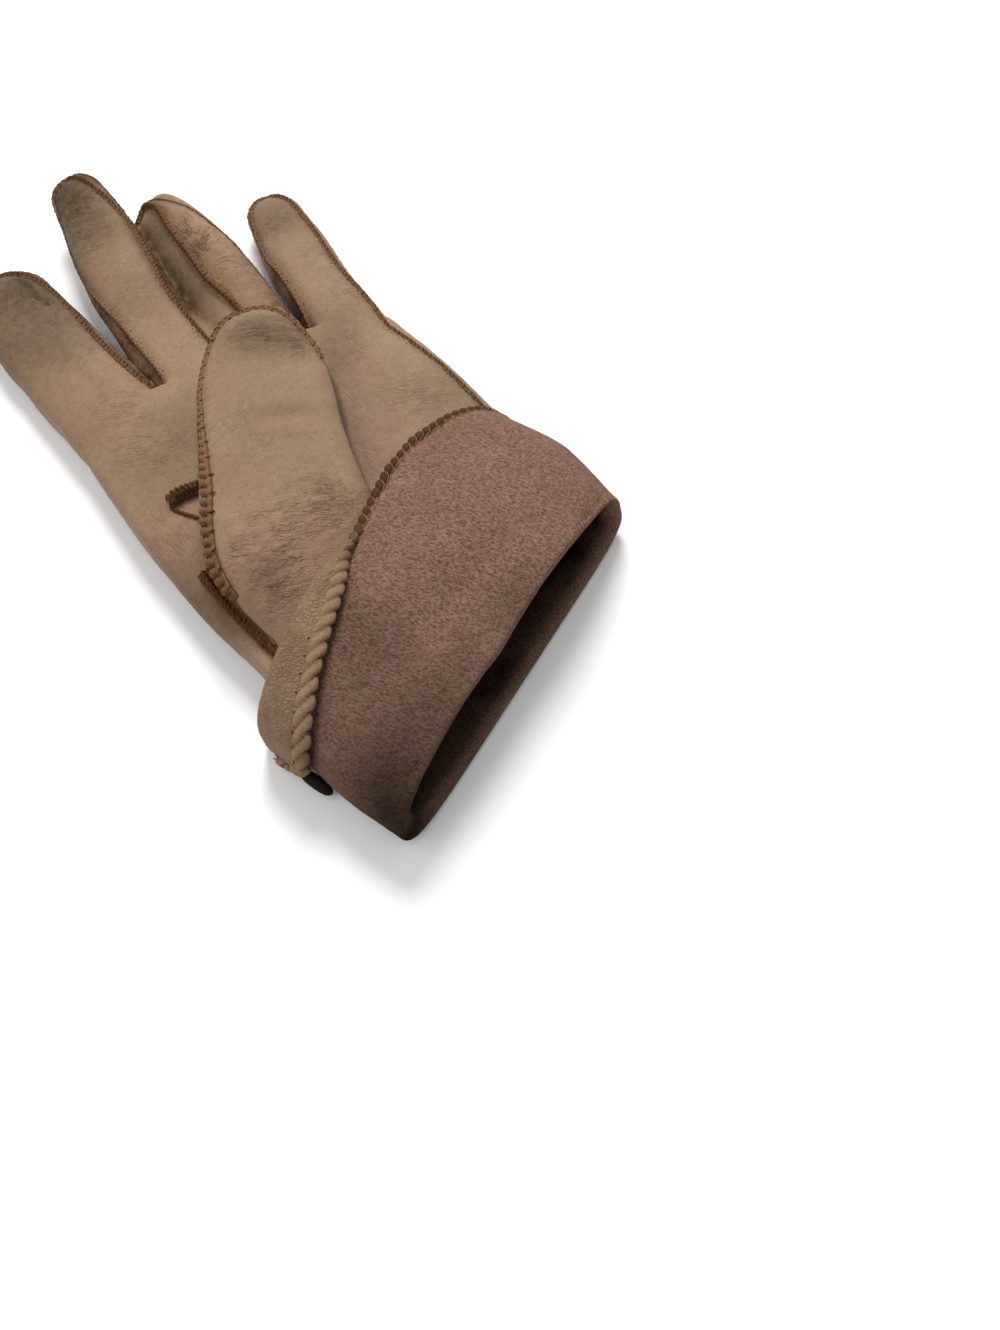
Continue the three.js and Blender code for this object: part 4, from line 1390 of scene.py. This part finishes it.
class GLOVE_OT_cuff(bpy.types.Operator):
    """Makes the turned-back cuff with its flipped edge"""

    bl_idname = "glove.cuff"
    bl_label = "Cuff"

    def execute(self, context):
        grid, first, _ = cuff_grid()
        rows, columns = grid.shape[:2]
        down = np.gradient(grid, axis=0)
        across = (np.roll(grid, -1, 1) - np.roll(grid, 1, 1)) / 2
        normals = unit(np.cross(across, down)).reshape(-1, 3)
        # The outside is kept clear of the hand, and the push is spread over its neighbours
        skin = surface_of("hand_skin")
        push = np.zeros_like(grid)
        for i in range(first, rows):
            near, way = laid_on(skin, grid[i])
            over = ((grid[i] - near) * way).sum(1)
            push[i] = way * (np.maximum(CUFF_CLEARANCE - over, 0) * (over > -6))[:, None]
        for _ in range(3):
            push = (np.roll(push, 1, 1) + 2 * push + np.roll(push, -1, 1)) / 4
            push[1:-1] = (push[:-2] + 2 * push[1:-1] + push[2:]) / 4
        points = (grid + push).reshape(-1, 3)
        relief = waves(points, CUFF_WAVES)
        relief -= crease_depth(points, CUFF_CREASES, 41) * smooth(np.abs(normals[:, 2]), 0, 0.4)
        relief[: first * columns] *= np.repeat(np.linspace(0.2, 1, first), columns)
        moved = points + normals * (relief * smooth(points[:, 2], 1.2, 5.0))[:, None]
        half = context.scene.glove_sizes.leather / MM / 2
        sides = [clear_of_table(moved + normals * half * s, 0.05).reshape(rows, columns, 3) for s in (1, -1)]
        ring = np.concatenate([sides[0], sides[1][::-1]])
        cuff = link_mesh("cuff_leather", ring.reshape(-1, 3), ring_faces(2 * rows, columns))
        points, _ = read_points(cuff)
        row = np.concatenate([np.arange(rows), np.arange(rows)[::-1]])[:, None].repeat(columns, 1).ravel()
        # Painted shade: darker in the cuff's shade blots, near black on the inside rows of the mouth, and
        # darker along the hem through the seam mask
        paint(cuff, blush=blots(points, CUFF_BLUSH),
              soil=np.maximum(blots(points, CUFF_SHADE), smooth(-row, -first * 1.0, -first * 0.55)),
              grain=np.repeat([1.0, 0.0], rows * columns), streaky=blots(points, CUFF_STREAKS),
              seam=bell(rows - 1 - row, 3.0))
        dress(cuff, "suede", "suede", "cuff")
        return {"FINISHED"}


def sized(table, size):
    """A table of (share of the line, size) made larger or smaller."""
    return [(share, value * size) for share, value in table]


class GLOVE_OT_seams(bpy.types.Operator):
    """Raises the seams of the fingers, the side, the thumb and the quirk, and whips them with thread"""

    bl_idname = "glove.seams"
    bl_label = "Seams"

    def execute(self, context):
        sizes = context.scene.glove_sizes
        size, pitch = sizes.seam, sizes.finger_pitch / MM
        skin, thumb = surface_of("hand_skin"), surface_of("thumb_skin")
        both = surface_of("hand_skin", "thumb_skin")
        line = palm_line()
        palm = Seam(skin, line[:, :3], 0.5, line[:, 3] * size, pitch, line[:, 4])
        backs = [Seam(skin, back, 0.8, 0.42 * size, pitch * 1.3, 0.2) for back in back_lines()]
        ridges("finger_seams", [palm] + backs)
        whips = [back.whips(7, (1.05, 1.3), kept=0.8) for back in backs]
        whipped("finger_stitches", [palm.whips(6, (1.05, 1.4), kept=0.88)] + whips)
        studs("needle_holes", *palm.holes(skin), 0.32)
        side = Seam(thumb, thumb_seam(), 0.3, sized(THUMB_SEAM_SIZES, size), THUMB_PITCHES, THUMB_RAWNESS,
                    0.35)
        side.squeeze += 0.12
        set_in = [Seam(both, evenly(in_plan(np.array(SET_IN) + [shift, 0], PLAN_HEIGHT), SEAM_STEP),
                       0.0, 1.05 * size, 1.5, 1.0) for shift in (-0.8, 0.9)]
        for band in set_in:
            band.squeeze *= 0.4
        ridges("thumb_seams", [side] + set_in)
        whips = [side.whips(12, (1.2, 2.0), 0.85)] + [s.whips(13, (1.0, 1.1), 1.0) for s in set_in]
        whipped("thumb_stitches", whips)
        upper, lower = (evenly(in_plan(edge, LIP_HEIGHT), 0.4) for edge in QUIRK_EDGES)
        lip = Seam(both, upper, 0.0, sized(LIP_SIZES, size), 1.3, 0.8)
        lip.squeeze *= 0.25
        foot = Seam(both, lower, 0.0, 0.5 * size, 1.4, 0.8)
        ridges("quirk_seams", [lip, foot], "fork_leather")
        whipped("quirk_stitches", [lip.whips(14, (1.0, 1.1), 0.7), foot.whips(15, (1.3, 1.6), 0.5)])
        return {"FINISHED"}


class GLOVE_OT_hem(bpy.types.Operator):
    """Overcasts the cuff's free edge: brown scallops on the suede, a thick tan rope on the flipped part"""

    bl_idname = "glove.hem"
    bl_label = "Hem"

    def execute(self, context):
        pitch = context.scene.glove_sizes.hem_pitch / MM
        grid, _, lift = cuff_grid()
        out = unit(cuff_row(2.0, 1.0) - cuff_row(2.0, 0.0))
        # The rope grows along its first part
        grown = 0.45 + 0.55 * smooth(np.degrees(turns_round(CUFF_COLUMNS)), 104, 150)
        # The edge's line, its ways inward and up, and how rolled and how thick it is, all at even steps
        values = np.column_stack([grid[-1], unit(grid[-4] - grid[-1]), out, lift, lift * grown])
        values = np.concatenate([values, values[:1]])
        lengths = lengths_to(values)
        count = int(lengths[-1] / ROPE_STEP)
        at = np.linspace(0, lengths[-1], count, endpoint=False)
        values = softened(np.stack([np.interp(at, lengths, v) for v in values.T], -1), 4, True)
        middle, inward, rolled, thick = values[:, :3], unit(values[:, 3:6]), values[:, 9], values[:, 10]
        along = unit(np.roll(middle, -1, 0) - np.roll(middle, 1, 0))
        inward = unit(inward - (inward * along).sum(1)[:, None] * along)
        up = values[:, 6:9]
        up = unit(up - (up * along).sum(1)[:, None] * along - (up * inward).sum(1)[:, None] * inward)
        passed = np.cumsum(lengths[-1] / count / (pitch * (1 + 0.62 * thick)))
        passed *= round(passed[-1]) / passed[-1]
        # A flattened rope with grooves that slant across it, deeper on the scallops' outer side
        t = turns_round(ROPE_SIDES)
        wide, high = 1.25 + 1.15 * thick, 0.90 + 0.55 * thick
        centre = -0.15 + 1.25 * thick
        u, v = np.cos(t)[None] * wide[:, None], np.sin(t)[None] * high[:, None]
        slant = (0.10 + 0.14 * thick)[:, None]
        groove = np.abs(np.sin(np.pi * (passed[:, None] - slant * u))) ** 0.52
        outer = np.clip(0.5 - 0.5 * np.cos(t), 0, 1)[None] * (1 - rolled[:, None])
        depth = 0.32 + 0.30 * outer + 0.14 * rolled[:, None]
        scale = 1 - depth * (1 - groove)
        scale = scale * (1 + 0.10 * drift(middle, 6, 3)[:, None])
        rings = (middle[:, None] + inward[:, None] * (centre[:, None] + u * scale)[..., None]
                 + up[:, None] * (v * scale)[..., None])
        points = clear_of_table(rings, 0.05).reshape(-1, 3)
        rope = link_mesh("hem_rope", points, ring_faces(count, ROPE_SIDES))
        # The pinch mask darkens the grooves as painted shade, and the soil mask the hem's end under the cuff
        paint(rope, edge=np.repeat(1 - rolled, ROPE_SIDES), pinch=((1 - groove) ** 1.5).ravel(),
              soil=blots(points, HEM_SHADE))
        dress(rope, "hem", "suede")
        at = np.nonzero(np.diff(np.floor(passed)) > 0)[0] + 1
        step = lengths[-1] / count

        def laid(way, index):
            """Threads along a way of (inwards, up, forwards) at some stitches."""
            lines = np.empty((len(index), len(way), 3))
            for i, (a, b, c) in enumerate(way):
                k = (index + int(round(c / step))) % count
                lines[:, i] = middle[k] + inward[k] * a + up[k] * b
            return lines, along[index]

        plain = at[(rolled[at] < 0.3) & (blots(middle[at], HEM_SHADE) < 0.3)]
        tan = at[thick[at] > 0.62]
        tubes("hem_running_thread", *laid(RUNNING, plain), 0.13, "hem thread")
        tubes("hem_wound_thread", *laid(WOUND, tan), 0.12)
        k = (tan + int(round(2.4 / step))) % count
        beside = middle[k] + inward[k] * 3.05 + up[k] * 2.0
        studs("hem_holes", *laid_on(surface_of("cuff_leather"), beside), 0.50)
        # A near-black roll as painted shadow where the flipped edge goes under the cuff
        tubes("tucked_edge", np.array([TUCKED_EDGE]), np.array([[1.0, 0.3, 0.0]]), 1.6, "tucked", 16,
              TUCKED_SWELL, "kid_leather")
        return {"FINISHED"}


class GLOVE_OT_stage(bpy.types.Operator):
    """Sets the floor, the lights and the camera"""

    bl_idname = "glove.stage"
    bl_label = "Stage"

    def execute(self, context):
        scene = context.scene
        bpy.ops.object.select_all(action="DESELECT")
        bpy.ops.mesh.primitive_plane_add(size=FLOOR_SIZE, location=(0, 0, 0))
        floor = context.object
        floor.name = "floor"
        paper = bpy.data.materials.new("pale_floor")
        paper.use_nodes = True
        surface = paper.node_tree.nodes["Principled BSDF"]
        surface.inputs["Base Color"].default_value = (*scene.glove_colours.floor, 1.0)
        surface.inputs["Roughness"].default_value = 0.9
        surface.inputs["Specular IOR Level"].default_value = 0.1
        floor.data.materials.append(paper)
        world = bpy.data.worlds.new("studio")
        world.use_nodes = True
        sky = world.node_tree.nodes["Background"]
        sky.inputs["Color"].default_value = (1.0, 1.0, 1.0, 1.0)
        sky.inputs["Strength"].default_value = SKY_STRENGTH
        scene.world = world
        for name, place, size, power, tint in LAMPS:
            lamp = bpy.data.lights.new(name, "AREA")
            lamp.shape, lamp.size, lamp.energy, lamp.color = "DISK", size, power, tint
            holder = bpy.data.objects.new(name, lamp)
            holder.location = place
            way = Vector((0.0, -0.01, 0.0)) - Vector(place)
            holder.rotation_euler = way.to_track_quat("-Z", "Y").to_euler()
            scene.collection.objects.link(holder)
        lens = bpy.data.cameras.new("camera")
        lens.sensor_width = SENSOR
        lens.lens = SENSOR * FOCAL / PICTURE_HEIGHT
        lens.clip_start = 0.01
        holder = bpy.data.objects.new("camera", lens)
        tilt, swing = math.radians(TILT), math.radians(SWING)
        level_part = math.cos(tilt)
        ahead = Vector((-math.sin(swing) * level_part, math.cos(swing) * level_part, -math.sin(tilt)))
        across = Vector((math.cos(swing), math.sin(swing), 0.0))
        upright = across.cross(ahead)
        place = Vector(to_row(AIM)) - ahead * (CAMERA_HEIGHT / math.sin(tilt))
        holder.matrix_world = Matrix((
            (across.x, upright.x, -ahead.x, place.x),
            (across.y, upright.y, -ahead.y, place.y),
            (across.z, upright.z, -ahead.z, place.z),
            (0, 0, 0, 1),
        ))
        scene.collection.objects.link(holder)
        scene.camera = holder
        scene.view_settings.view_transform = "Standard"
        return {"FINISHED"}


class GLOVE_PT_panel(bpy.types.Panel):
    """Steps and sizes of the glove"""

    bl_idname = "GLOVE_PT_panel"
    bl_label = "Kidskin glove"
    bl_space_type = "VIEW_3D"
    bl_region_type = "UI"
    bl_category = "Glove"

    def draw(self, context):
        for group in (context.scene.glove_sizes, context.scene.glove_colours):
            for name in group.__annotations__:
                self.layout.prop(group, name)
        for step in STEPS:
            self.layout.operator(step.bl_idname)


STEPS = (GLOVE_OT_hand, GLOVE_OT_thumb, GLOVE_OT_hollow, GLOVE_OT_forks, GLOVE_OT_quirk, GLOVE_OT_cuff,
         GLOVE_OT_seams, GLOVE_OT_hem, GLOVE_OT_stage)
CLASSES = (GloveSizes, GloveColours, *STEPS, GLOVE_PT_panel)


def register():
    for one in CLASSES:
        bpy.utils.register_class(one)
    bpy.types.Scene.glove_sizes = PointerProperty(type=GloveSizes)
    bpy.types.Scene.glove_colours = PointerProperty(type=GloveColours)


def unregister():
    del bpy.types.Scene.glove_colours
    del bpy.types.Scene.glove_sizes
    for one in reversed(CLASSES):
        bpy.utils.unregister_class(one)


def main():
    register()
    bpy.ops.glove.hand()
    bpy.ops.glove.thumb()
    bpy.ops.glove.hollow()
    bpy.ops.glove.forks()
    bpy.ops.glove.quirk()
    bpy.ops.glove.cuff()
    bpy.ops.glove.seams()
    bpy.ops.glove.hem()
    bpy.ops.glove.stage()


if __name__ == "__main__":
    main()
